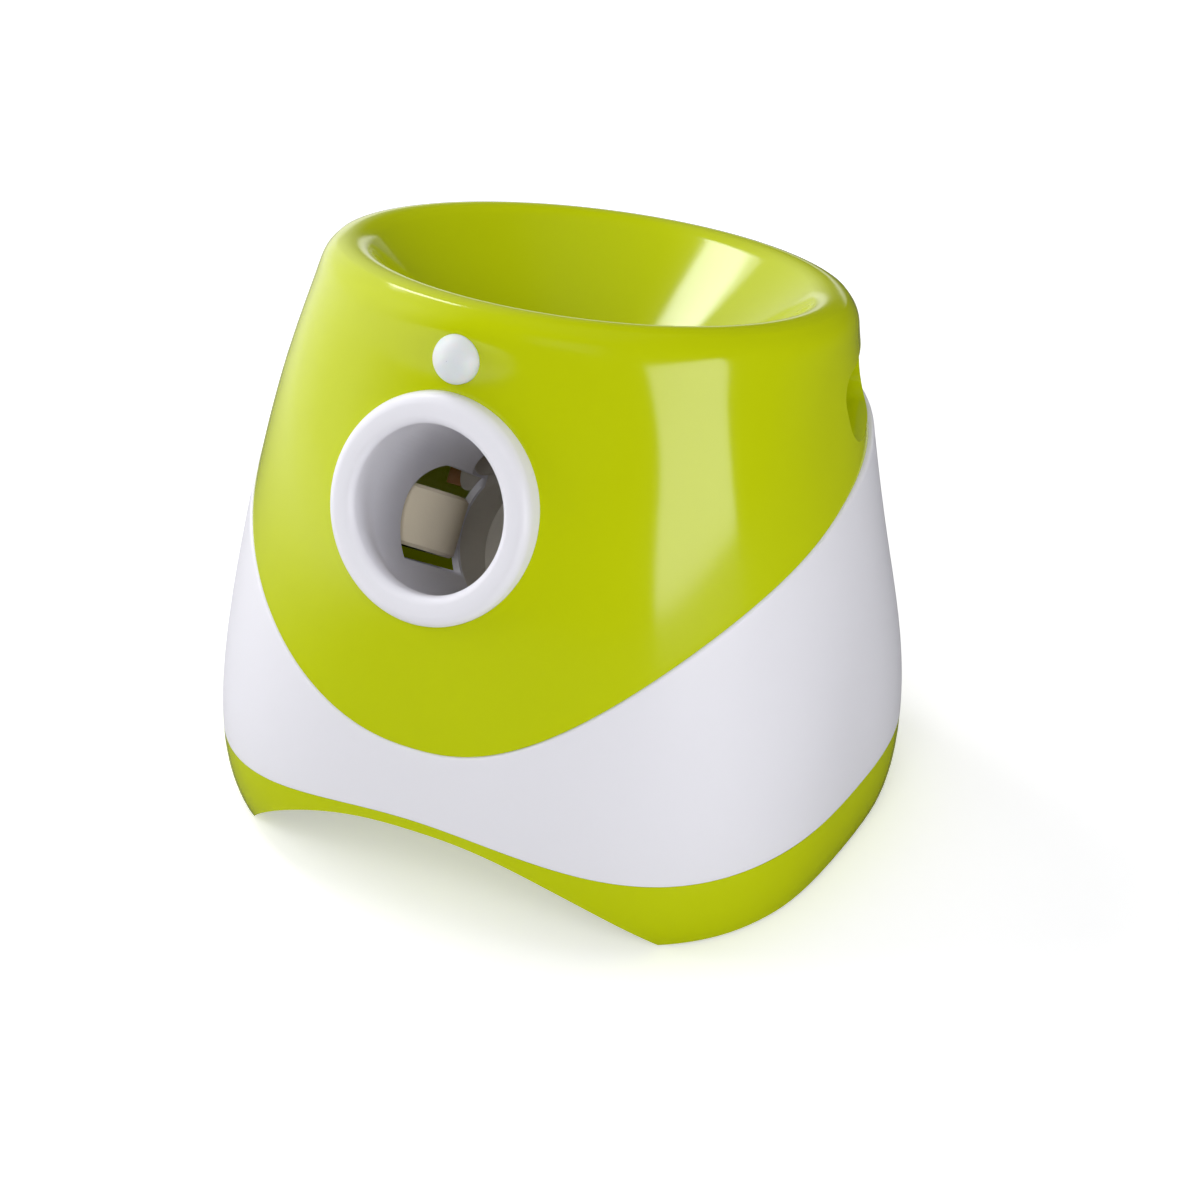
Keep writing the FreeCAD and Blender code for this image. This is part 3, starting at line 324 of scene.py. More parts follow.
def lathe(name: str, outline: Sequence[Pair], frame: TiltFrame, segments: int) -> bpy.types.Object:
    """Turn a closed outline of radius and height round a frame's Z axis."""
    turns = turns_of(segments)
    return ring_grid(name, [frame.place(level_ring(turns, *pair)) for pair in outline], True)


def arc(centre: Pair, radius: float, start: float, end: float, steps: int) -> list[Pair]:
    """Points of an arc in the outline plane, angles in degrees."""
    angles = np.radians(np.linspace(start, end, steps))
    return [(centre[0] + radius * math.cos(a), centre[1] + radius * math.sin(a)) for a in angles]


def ellipse(half_x: float, half_y: float, steps: int) -> list[Pair]:
    """Points of an ellipse, counter-clockwise."""
    return [(half_x * math.cos(turn), half_y * math.sin(turn)) for turn in turns_of(steps)]


def rounded_outline(half_x: float, half_y: float, corner: float, steps: int = 10) -> list[Pair]:
    """A rounded rectangle, counter-clockwise.

    Args:
        half_x: half size across.
        half_y: half size along.
        corner: corner radius.
        steps: points for each corner.

    Returns:
        The outline's points.
    """
    points = []
    for number, (sign_x, sign_y) in enumerate(((1, 1), (-1, 1), (-1, -1), (1, -1))):
        middle = (sign_x * (half_x - corner), sign_y * (half_y - corner))
        points += arc(middle, corner, 90 * number, 90 * number + 90, steps)
    return points


def prism(name: str, outline: Sequence[Pair], low: float, high: float,
          place: Callable[[np.ndarray], np.ndarray]) -> bpy.types.Object:
    """A straight block over an outline.

    Args:
        name: the object's name.
        outline: the outline's points.
        low: lower height.
        high: upper height.
        place: moves the points into the object's frame.

    Returns:
        The object.
    """
    count = len(outline)
    rows = [np.column_stack([np.array(outline), np.full(count, z)]) for z in (low, high)]
    faces: list[tuple[int, ...]] = list(grid_faces(len(rows), count, False))
    faces.append(tuple(reversed(range(count))))
    faces.append(tuple(count + i for i in range(count)))
    return make_object(name, place(np.array(rows)), faces)


def combine(target: bpy.types.Object, tool: bpy.types.Object, operation: str) -> None:
    """Join, cut or meet one object with another, then drop the other.

    Args:
        target: the object that changes.
        tool: the other object.
        operation: UNION, DIFFERENCE or INTERSECT.
    """
    modifier = target.modifiers.new("combine", "BOOLEAN")
    modifier.operation = operation
    modifier.solver = "EXACT"
    modifier.object = tool
    graph = bpy.context.evaluated_depsgraph_get()
    mesh = bpy.data.meshes.new_from_object(target.evaluated_get(graph), depsgraph=graph)
    target.modifiers.clear()
    old = target.data
    target.data = mesh
    mesh.name = target.name
    bpy.data.meshes.remove(old)
    bpy.data.objects.remove(tool)


def carry_normals(target: bpy.types.Object, source: bpy.types.Mesh, limit: float = 0.9) -> None:
    """Give the target the smooth normals of the surface it was cut from.

    Args:
        target: the cut object.
        source: the mesh before cutting.
        limit: least cosine between a face and the surface it takes normals from.
    """
    normals = [v.normal.copy() for v in source.vertices]
    spots = [v.co.copy() for v in source.vertices]
    corners = [tuple(p.vertices) for p in source.polygons]
    tree = BVHTree.FromPolygons(spots, corners)
    touching = 2e-5
    mesh = target.data
    mesh.set_sharp_from_angle(angle=math.radians(CREASE_DEGREES))
    found = []
    for vertex in mesh.vertices:
        _, _, index, distance = tree.find_nearest(vertex.co)
        if index is None or distance > touching:
            found.append(None)
            continue
        total = Vector((0, 0, 0))
        for corner in corners[index]:
            gap = (spots[corner] - vertex.co).length_squared
            total += normals[corner] / (gap + 1e-12)
        found.append(total.normalized())
    result = [tuple(n.vector) for n in mesh.corner_normals]
    for polygon in mesh.polygons:
        for loop in polygon.loop_indices:
            normal = found[mesh.loops[loop].vertex_index]
            if normal is not None and normal.dot(polygon.normal) > limit:
                result[loop] = tuple(normal)
    mesh.normals_split_custom_set(result)


def soften(obj: bpy.types.Object, degrees: float = CREASE_DEGREES) -> None:
    """Smooth the object's shading except at edges sharper than the angle."""
    obj.data.shade_smooth()
    obj.data.set_sharp_from_angle(angle=math.radians(degrees))


# ---- finishes
class NodeKit:
    """A short way to add nodes and links to one node tree."""

    def __init__(self, tree: bpy.types.NodeTree) -> None:
        """Keep the tree."""
        self.tree = tree

    def add(self, kind: str, **settings: object) -> bpy.types.Node:
        """Add a node; settings name its properties."""
        node = self.tree.nodes.new(kind)
        for key, value in settings.items():
            setattr(node, key, value)
        return node

    def link(self, source: bpy.types.NodeSocket, target: bpy.types.NodeSocket) -> None:
        """Join two sockets."""
        self.tree.links.new(source, target)

    def feed(self, target: bpy.types.NodeSocket, value: object) -> None:
        """Give an input a link or a constant."""
        if isinstance(value, bpy.types.NodeSocket):
            self.link(value, target)
        else:
            target.default_value = value

    def fill(self, node: bpy.types.Node, values: dict[str, object]) -> bpy.types.Node:
        """Feed a node's inputs by name, and give the node."""
        for name, value in values.items():
            self.feed(node.inputs[name], value)
        return node

    def math(self, operation: str, first: object, second: object,
             clamp: bool = False) -> bpy.types.NodeSocket:
        """Add a math node, and give its output."""
        node = self.add("ShaderNodeMath", operation=operation, use_clamp=clamp)
        for socket, value in zip(node.inputs, (first, second)):
            self.feed(socket, value)
        return node.outputs[0]

    def noise(self, scale: object, detail: float) -> bpy.types.NodeSocket:
        """Add a noise over the object's own coordinates, and give its value."""
        place = self.add("ShaderNodeTexCoord").outputs["Object"]
        values = {"Vector": place, "Scale": scale, "Detail": detail}
        return self.fill(self.add("ShaderNodeTexNoise"), values).outputs["Fac"]

    def mix(self, factor: bpy.types.NodeSocket, first: object, second: object) -> bpy.types.NodeSocket:
        """Mix two colours, and give the result."""
        node = self.add("ShaderNodeMix", data_type="RGBA")
        return self.fill(node, {"Factor": factor, "A": first, "B": second}).outputs["Result"]

    def span(self, value: bpy.types.NodeSocket, start: Pair, end: Pair,
             easing: str = "SMOOTHSTEP") -> bpy.types.NodeSocket:
        """Map a value; start and end each hold a value and what it becomes."""
        node = self.add("ShaderNodeMapRange", interpolation_type=easing)
        return self.fill(node, {"Value": value, "From Min": start[0], "To Min": start[1],
                                "From Max": end[0], "To Max": end[1]}).outputs["Result"]


def new_group(name: str, inputs: dict[str, float], outputs: Iterable[str]) -> tuple:
    """Start a shader node group.

    Args:
        name: the group's name.
        inputs: name and default of each input.
        outputs: name of each output.

    Returns:
        The group, its kit, its input node and its output node.
    """
    group = bpy.data.node_groups.new(name, "ShaderNodeTree")
    for label, default in inputs.items():
        socket = group.interface.new_socket(label, in_out="INPUT", socket_type="NodeSocketFloat")
        socket.default_value = default
    for label in outputs:
        group.interface.new_socket(label, in_out="OUTPUT", socket_type="NodeSocketFloat")
    kit = NodeKit(group)
    return group, kit, kit.add("NodeGroupInput"), kit.add("NodeGroupOutput")


class SurfaceEffects:
    """Shader node groups that several finishes share."""

    def __init__(self) -> None:
        """Build the groups once."""
        self.grain = self._build_grain()
        self.wear = self._build_wear()
        self.dust = self._build_dust()

    def _build_grain(self) -> bpy.types.NodeTree:
        """Fine moulded texture: a height, a roughness and a slow change of tone."""
        group, kit, source, sink = new_group(
            "moulded_grain", {"Grain Size": 1500.0, "Roughness": 0.3, "Roughness Change": 0.06},
            ("Height", "Roughness", "Tone"))
        fine = kit.noise(source.outputs["Grain Size"], detail=3.0)
        slow = kit.noise(scale=14.0, detail=4.0)
        swing = kit.math("MULTIPLY", kit.math("SUBTRACT", slow, 0.5), source.outputs["Roughness Change"])
        rough = kit.math("ADD", source.outputs["Roughness"], swing, clamp=True)
        kit.fill(sink, {"Height": fine, "Roughness": rough, "Tone": slow})
        return group

    def _build_wear(self) -> bpy.types.NodeTree:
        """A mask along convex edges, broken up by noise."""
        group, kit, source, sink = new_group("edge_wear", {"Amount": 0.3, "Break Up": 220.0}, ("Mask",))
        shape = kit.add("ShaderNodeNewGeometry")
        edge = kit.span(shape.outputs["Pointiness"], (0.52, 0.0), (0.62, 1.0), "LINEAR")
        mask = kit.math("MULTIPLY", edge, kit.noise(source.outputs["Break Up"], detail=2.0))
        kit.link(kit.math("MULTIPLY", mask, source.outputs["Amount"], clamp=True), sink.inputs["Mask"])
        return group

    def _build_dust(self) -> bpy.types.NodeTree:
        """A mask of light dust on faces that look up."""
        group, kit, source, sink = new_group("light_dust", {"Amount": 0.05}, ("Mask",))
        shape = kit.add("ShaderNodeNewGeometry")
        split = kit.fill(kit.add("ShaderNodeSeparateXYZ"), {"Vector": shape.outputs["Normal"]})
        upward = kit.math("MAXIMUM", split.outputs["Z"], 0.0)
        mask = kit.math("MULTIPLY", kit.math("POWER", upward, 2.0), kit.noise(scale=60.0, detail=6.0))
        kit.link(kit.math("MULTIPLY", mask, source.outputs["Amount"], clamp=True), sink.inputs["Mask"])
        return group


@dataclass(frozen=True)
class Finish:
    """A moulded, rubber or metal finish; colours are linear."""

    name: str
    colour: Triple
    roughness: float = 0.35
    metallic: float = 0.0
    grain_size: float = 1800.0
    grain_depth: float = 0.02
    roughness_change: float = 0.06
    tone_change: float = 0.04
    wear: float = 0.15
    wear_colour: Triple = (0.8, 0.8, 0.78)
    dust: float = 0.02
    coat: float = 0.0
    coat_roughness: float = 0.08
    transmission: float = 0.0
    subsurface: float = 0.0
    ior: float = 1.5
    # Strength of a glow in the finish's own colour: painted light, not a lamp.
    painted_glow: float = 0.0

    def build(self, effects: SurfaceEffects) -> bpy.types.Material:
        """Make the material with the shared node groups."""
        material = bpy.data.materials.new(self.name)
        material.use_nodes = True
        kit = NodeKit(material.node_tree)
        shader = material.node_tree.nodes["Principled BSDF"]
        grain = kit.fill(kit.add("ShaderNodeGroup", node_tree=effects.grain), {
            "Grain Size": self.grain_size, "Roughness": self.roughness,
            "Roughness Change": self.roughness_change})
        wear = kit.fill(kit.add("ShaderNodeGroup", node_tree=effects.wear), {"Amount": self.wear})
        dust = kit.fill(kit.add("ShaderNodeGroup", node_tree=effects.dust), {"Amount": self.dust})
        darker = (*[c * (1 - self.tone_change) for c in self.colour], 1)
        lighter = (*[min(1.0, c * (1 + self.tone_change)) for c in self.colour], 1)
        tone = kit.mix(grain.outputs["Tone"], darker, lighter)
        worn = kit.mix(wear.outputs["Mask"], tone, (*self.wear_colour, 1))
        bump = kit.fill(kit.add("ShaderNodeBump"), {
            "Strength": BUMP_STRENGTH, "Distance": self.grain_depth * METRES,
            "Height": grain.outputs["Height"]})
        kit.fill(shader, {
            "Base Color": kit.mix(dust.outputs["Mask"], worn, DUST_COLOUR),
            "Roughness": grain.outputs["Roughness"], "Normal": bump.outputs["Normal"],
            "Metallic": self.metallic, "IOR": self.ior, "Coat Weight": self.coat,
            "Coat Roughness": self.coat_roughness, "Transmission Weight": self.transmission,
            # The emission is painted glow, where a finish sets one.
            "Emission Color": (*self.colour, 1), "Emission Strength": self.painted_glow})
        if self.subsurface > 0:
            kit.fill(shader, {"Subsurface Weight": self.subsurface, "Subsurface Scale": SUBSURFACE_SCALE})
        return material


class Palette(Enum):
    """Every finish of the launcher."""

    # The lime plastic glows faintly in its own colour: painted light that lifts its shaded sides.
    LIME = Finish("lime_gloss_plastic", (0.48, 0.55, 0.0008), roughness=0.12, grain_depth=0.003,
                  roughness_change=0.03, wear=0.05, wear_colour=(0.6, 0.66, 0.2), dust=0.0, painted_glow=0.04)
    WHITE = Finish("white_satin_plastic", (0.78, 0.775, 0.83), roughness=0.36, grain_depth=0.015, wear=0.05,
                   tone_change=0.02)
    BLACK_RUBBER = Finish("foot_rubber", (0.03, 0.03, 0.03), roughness=0.8, grain_depth=0.05, dust=0.05)
    TREAD = Finish("tread_rubber", (0.8, 0.71, 0.53), roughness=0.85, grain_size=900, grain_depth=0.12,
                   tone_change=0.15, wear=0.3, wear_colour=(0.84, 0.77, 0.61))
    STEEL = Finish("plated_steel", (0.62, 0.61, 0.6), roughness=0.3, metallic=1.0, wear=0.1)
    MOTOR = Finish("motor_can_steel", (0.5, 0.5, 0.51), roughness=0.38, metallic=1.0, roughness_change=0.15)
    CELL = Finish("cell_sleeve", (0.05, 0.055, 0.06), roughness=0.35, coat=0.3)
    GREY = Finish("grey_plastic", (0.09, 0.088, 0.082), roughness=0.5, grain_depth=0.04)
    # White plastic darkened and warmed as if it lay in shade: painted shade, for the breech cap and the
    # feed chute.
    WHITE_PAINTED_SHADE = Finish("white_plastic_painted_shade", (0.62, 0.59, 0.52), roughness=0.45, grain_depth=0.03)
    BLACK = Finish("black_plastic", (0.02, 0.02, 0.021), roughness=0.5, grain_depth=0.04)
    AMBER = Finish("amber_plastic", (0.33, 0.11, 0.02), roughness=0.35)
    CREAM = Finish("cream_acetal", (0.62, 0.56, 0.43), roughness=0.4)
    FROSTED = Finish("frosted_lens", (0.72, 0.73, 0.75), roughness=0.42, grain_size=700, grain_depth=0.05,
                     subsurface=0.35, wear=0.0)
    CLEAR = Finish("clear_light_rod", (0.85, 0.95, 0.85), roughness=0.2, transmission=0.3, wear=0.0)
    BOARD = Finish("solder_resist", (0.01, 0.09, 0.03), roughness=0.4, coat=0.4)


class Wardrobe:
    """Builds each finish once and hands out its material."""

    def __init__(self) -> None:
        """Start with no materials."""
        self.effects = SurfaceEffects()
        self.made: dict[Palette, bpy.types.Material] = {}

    def get(self, finish: Palette) -> bpy.types.Material:
        """The material of a finish."""
        if finish not in self.made:
            self.made[finish] = finish.value.build(self.effects)
        return self.made[finish]


@dataclass
class Workshop:
    """What every sub-assembly needs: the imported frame, the materials and the body skin."""

    frame: dict
    wardrobe: Wardrobe
    skin: BodySkin = field(default_factory=BodySkin)

    def finish(self, obj: bpy.types.Object, finish: Palette, part: Part, slot: str, *nodes: str) -> None:
        """Dress a new piece, let it ride and let it stand for nodes.

        Args:
            obj: the piece.
            finish: its finish.
            part: the body it rides on.
            slot: the record's material slot; not used.
            nodes: the nodes that it replaces.
        """
        obj.data.materials.clear()
        obj.data.materials.append(self.wardrobe.get(finish))
        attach(obj, part.value)
        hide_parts(*nodes)
        LOG.info("piece %s: %d points", obj.name, len(obj.data.vertices))

    def dress(self, finish: Palette, *nodes: str) -> None:
        """Give nodes of the frame a finish."""
        for name in nodes:
            node = self.frame["nodes"][name]
            if not node.material_slots:
                node.data.materials.append(self.wardrobe.get(finish))
            for place in node.material_slots:
                place.material = self.wardrobe.get(finish)
            LOG.info("node %s: %s", name, finish.name)


# ---- shells
@dataclass
class LowerShell:
    """White lower moulding."""

    wall: float = 3.0
    gap: float = 0.04
    low_gap: float = -0.12
    top_round: float = 1.3
    low_round: float = 0.35
    rows: int = 44
    panel_centre: float = 112.0
    panel_half: Pair = (33.3, 17.3)
    panel_corner: float = 6.3
    inlet: Triple = (-40.0, 62.0, 5.3)
    rear_cut: Pair = (85.0, 140.0)

    def profile(self, skin: BodySkin) -> list[np.ndarray]:
        """Rows of the closed wall, from the lower edge over the outside and back inside."""
        angles = turns_of(COLUMNS)
        low = lifted(tray_edge, self.low_gap)
        high = lifted(seam_height, -self.gap)
        rows = skin.rounding(angles, low, self.low_round, np.linspace(90, 0, 5), 1)
        start = lifted(low, self.low_round)
        stop = lifted(high, -self.top_round)
        for share in np.linspace(0, 1, self.rows)[1:-1]:
            rows.append(skin.row(angles, between(start, stop, share), 0, 1))
        rows += skin.rounding(angles, high, -self.top_round, np.linspace(0, 90, 8), 1)
        for share in np.linspace(1, 0, 14):
            rows.append(skin.row(angles, between(low, high, share), self.wall, 1))
        return rows

    def build(self, shop: Workshop) -> None:
        """Make and dress the shell."""
        shell = ring_grid("lower_shell_skin", self.profile(shop.skin), True)
        source = shell.data.copy()
        swing = np.array([[1.0, 0, 0], [0, 0, 1.0], [0, 1.0, 0]])
        x, z, radius = self.inlet
        panel = rounded_outline(*self.panel_half, self.panel_corner)
        for name, outline, across, up in (("panel_hole", panel, 0.0, self.panel_centre),
                                          ("inlet_hole", ellipse(radius, radius, 40), x, z)):
            centre = np.array([across, 0.0, up])
            combine(shell, prism(name, outline, *self.rear_cut, lambda p: p @ swing + centre), "DIFFERENCE")
        carry_normals(shell, source)
        shop.finish(shell, Palette.WHITE, Part.CASE, "white_satin", "lower_shell")


@dataclass
class TopShell:
    """Green upper moulding: wall, lip, bowl, throat and grips."""

    wall: float = 3.0
    gap: float = 0.04
    edge_round: float = 0.3
    rows: int = 46
    lip_radius: float = 10.6
    lip_centre: float = 86.2
    bowl_wall: float = 2.8
    throat_radius: float = 27.0
    throat_depth: float = 82.52
    throat_wall: float = 3.0
    throat_low: float = 41.0
    throat_round: float = 1.5
    bowl_slope: float = 44.0
    throat_rim: Pair = (29.0, -41.0)
    throat_start: float = 50.0
    bowl_depth: float = 47.0
    bowl_inner: float = 44.0
    bowl_outer: float = 78.3
    bowl_drop: float = 1.3
    tongue_low: float = -8.0
    tongue_outside: float = 3.3
    tongue_inside: float = 5.3
    ledge: float = 3.5
    inside_low: float = 5.0
    inside_top: float = 0.995
    eased_span: tuple[int, int] = (20, 15)
    eased_passes: int = 34
    grip_place: Triple = (97.0, 50.0, 163.0)
    grip_half: Pair = (24.0, 13.0)
    grip_corner: float = 10.0
    grip_turn: float = 24.0
    grip_span: Pair = (-11.0, 22.0)
    grip_wall: float = 2.5
    grip_inset: float = 1.0
    mouth_half: float = 40.35
    mouth_span: Pair = (-20.0, 30.0)
    lens_gap: float = 0.06
    lens_span: Pair = (-8.0, 20.0)

    def bowl_line(self, count: int = 400) -> np.ndarray:
        """Finely sampled half section of the bowl, from the lip's arc down to the middle."""
        slope = math.radians(self.bowl_slope)
        start = np.array([self.lip_centre - self.lip_radius * math.sin(slope),
                          self.lip_radius * math.cos(slope)])
        rim = np.array(self.throat_rim)
        marks = np.array([start + (rim - start) * share for share in (0.0, 0.3, 0.6, 0.85, 1.0)]
                         + [np.array([0.0, -self.bowl_depth])])
        gaps = np.linalg.norm(np.diff(marks, axis=0), axis=1)
        knots = np.concatenate([[0], np.cumsum(gaps)])
        slopes = np.gradient(marks, knots, axis=0)
        slopes[0] = (-math.cos(slope), -math.sin(slope))
        slopes[-1] = (-1.0, 0.0)
        places = np.linspace(0, knots[-1], count)
        spans = np.clip(np.searchsorted(knots, places, side="right") - 1, 0, len(knots) - 2)
        width = (knots[spans + 1] - knots[spans])[:, None]
        t = (places - knots[spans])[:, None] / width
        a, b = marks[spans], marks[spans + 1]
        ma, mb = slopes[spans] * width, slopes[spans + 1] * width
        return ((2 * t ** 3 - 3 * t ** 2 + 1) * a + (t ** 3 - 2 * t ** 2 + t) * ma
                + (-2 * t ** 3 + 3 * t ** 2) * b + (t ** 3 - t ** 2) * mb)

    def bowl_height(self, radius: np.ndarray) -> np.ndarray:
        """Height of the bowl's surface at a radius, in the hopper's frame."""
        line = self.bowl_line()[::-1]
        return np.interp(radius, line[:, 0], line[:, 1])

    def throat_ring(self, angles: np.ndarray, radius: float) -> np.ndarray:
        """Points where a round bar along the chute meets the bowl, in the hopper's frame.

        Args:
            angles: angles round the chute.
            radius: radius of the bar.

        Returns:
            An array of angles by three.
        """
        turn = math.radians(HOPPER.turn - BARREL.turn)
        base = BARREL.place(np.array([[0.0, self.throat_depth, 0.0]]))[0]
        lean = math.radians(-HOPPER.turn)
        rel_y, rel_z = base[1] - HOPPER.y, base[2] - HOPPER.z
        base_y = rel_y * math.cos(lean) - rel_z * math.sin(lean)
        base_z = rel_y * math.sin(lean) + rel_z * math.cos(lean)
        reach = np.full_like(angles, self.throat_start)
        x = radius * np.cos(angles)
        across = radius * np.sin(angles)
        steps = 12
        for _ in range(steps):
            y = base_y + across * math.cos(turn) + reach * math.sin(turn)
            z = base_z - across * math.sin(turn) + reach * math.cos(turn)
            reach = reach + (self.bowl_height(np.hypot(x, y)) - z) / math.cos(turn)
        return np.stack([x, y, z], axis=-1)

    def throat_wall_ring(self, angles: np.ndarray, radius: float, reach: float) -> np.ndarray:
        """A ring round the chute's axis at a distance along it, in the object's frame."""
        row = np.stack([radius * np.cos(angles), self.throat_depth + radius * np.sin(angles),
                        np.full_like(angles, reach)], axis=-1)
        return BARREL.place(row)

    def bowl_rows(self, angles: np.ndarray, drop: float, mouth: float) -> list[np.ndarray]:
        """Rows over the bowl from its lip to the throat's rim.

        Args:
            angles: ring angles.
            drop: distance below the upper surface.
            mouth: radius of the throat's rim.

        Returns:
            Rows in the object's frame.
        """
        keep = [point for point in self.bowl_line(120) if self.bowl_inner < point[0] < self.bowl_outer]
        rows = [HOPPER.place(level_ring(angles, radius, height - drop)) for radius, height in keep[::2]]
        edge = self.throat_ring(angles, mouth)
        start = level_ring(angles, self.bowl_inner, 0.0)[:, :2]
        for share in np.linspace(0, 1, 12):
            flat = start * (1 - share) + edge[:, :2] * share
            height = self.bowl_height(np.hypot(flat[:, 0], flat[:, 1])) - drop
            rows.append(HOPPER.place(np.column_stack([flat, height])))
        return rows

    def lip_rows(self, angles: np.ndarray, radius: float, turns: np.ndarray) -> list[np.ndarray]:
        """Rows over the lip's rounding, at turns in degrees."""
        return [HOPPER.place(level_ring(angles, self.lip_centre + radius * math.cos(turn),
                                        radius * math.sin(turn))) for turn in np.radians(turns)]

    def profile(self, skin: BodySkin) -> list[np.ndarray]:
        """Rows of the closed wall, from the tongue over the outside, lip and bowl and back inside."""
        angles = turns_of(COLUMNS)
        edge = lifted(seam_height, self.gap)
        tongue = lifted(seam_height, self.tongue_low)
        rows = [skin.row(angles, rule, self.tongue_outside, 1) for rule in (tongue, edge)]
        rows += skin.rounding(angles, edge, self.edge_round, np.linspace(90, 0, 5), 0)
        lowest = skin.row(angles, lifted(edge, self.edge_round), 0, 0)[:, 2]
        levels = skin.levels(angles, lambda x, y: lowest, 0, 0)
        for share in np.linspace(0, 1, self.rows)[1:]:
            rows.append(skin.points(angles, levels * (1 - share) + share, 0, 0))
        inner = 90 + self.bowl_slope
        seat = len(rows)
        rows += self.lip_rows(angles, self.lip_radius, np.linspace(0, inner, 33))
        easy = slice(seat - self.eased_span[0], seat + self.eased_span[1])
        rows[easy] = eased(rows[easy], self.eased_passes)
        rows += self.bowl_rows(angles, 0.0, self.throat_radius + self.throat_round)
        rim = self.throat_ring(angles, self.throat_radius + self.throat_round)
        neck = self.throat_ring(angles, self.throat_radius)
        for turn in np.radians(np.linspace(20, 90, 5)):
            mix = rim * (1 - math.sin(turn)) + neck * math.sin(turn)
            mix[:, 2] -= self.throat_round * (1 - math.cos(turn))
            rows.append(HOPPER.place(mix))
        neck_outside = self.throat_radius + self.throat_wall
        for radius in (self.throat_radius, neck_outside):
            rows.append(self.throat_wall_ring(angles, radius, self.throat_low))
        rows += self.bowl_rows(angles, self.bowl_wall * self.bowl_drop, neck_outside)[::-1]
        rows += self.lip_rows(angles, self.lip_radius - self.bowl_wall, np.linspace(inner, 0, 17))
        inside = skin.row(angles, lifted(seam_height, self.inside_low), self.wall, 0)[:, 2]
        levels = skin.levels(angles, lambda x, y: inside, 0, 0)
        for share in np.linspace(0, 1, 16):
            rows.append(skin.points(angles, self.inside_top * (1 - share) + levels * share, self.wall, 0))
        ledge = lifted(seam_height, self.ledge)
        return rows + [skin.row(angles, rule, self.tongue_inside, 1) for rule in (ledge, tongue)]

    def grip(self, grow: float, side: int, name: str) -> bpy.types.Object:
        """Rounded block of one hand grip, grown by a wall."""
        turn = math.radians(self.grip_turn)
        half_x, half_y = self.grip_half
        outline = rounded_outline(half_x + grow, half_y + grow, self.grip_corner + grow, 12)
        middle = self.grip_place

        def place(points: np.ndarray) -> np.ndarray:
            """Carry the block to its side of the shell."""
            along, up, depth = points[..., 0], points[..., 1], points[..., 2]
            x = middle[0] + depth * math.cos(turn) - along * math.sin(turn)
            y = middle[1] + depth * math.sin(turn) + along * math.cos(turn)
            return np.stack([side * x, y, middle[2] + up], axis=-1)

        return prism(name, outline, self.grip_span[0] - grow, self.grip_span[1], place)

    def core(self, skin: BodySkin, inset: float) -> bpy.types.Object:
        """A closed solid inside the green skin."""
        columns, count = 96, 40
        angles = turns_of(columns)
        levels = np.linspace(0.4, 1, count)
        grid = np.array([skin.points(angles, np.full_like(angles, level), inset, 0) for level in levels])
        faces: list[tuple[int, ...]] = list(grid_faces(count, columns, False))
        faces.append(tuple(range(columns)))
        faces.append(tuple((count - 1) * columns + i for i in range(columns)))
        return make_object("core", grid, faces)

    def build(self, shop: Workshop) -> None:
        """Make and dress the shell."""
        shell = ring_grid("top_shell_skin", self.profile(shop.skin), True)
        source = shell.data.copy()
        for side in (-1, 1):
            pocket = self.grip(self.grip_wall, side, "pocket")
            combine(pocket, self.core(shop.skin, self.grip_inset), "INTERSECT")
            combine(shell, pocket, "UNION")
            combine(shell, self.grip(0.0, side, "pocket_hollow"), "DIFFERENCE")
        reach = self.mouth_half
        outline = ellipse(LaunchTube().squeeze(reach) * reach, reach, 128)
        combine(shell, prism("mouth_hole", outline, *self.mouth_span, BEZEL.place), "DIFFERENCE")
        reach = MotionSensor().radius + self.lens_gap
        hole = prism("lens_hole", ellipse(reach, reach, 64), *self.lens_span, LENS.place)
        combine(shell, hole, "DIFFERENCE")
        carry_normals(shell, source)
        shop.finish(shell, Palette.LIME, Part.CASE, "lime_gloss", "top_shell")


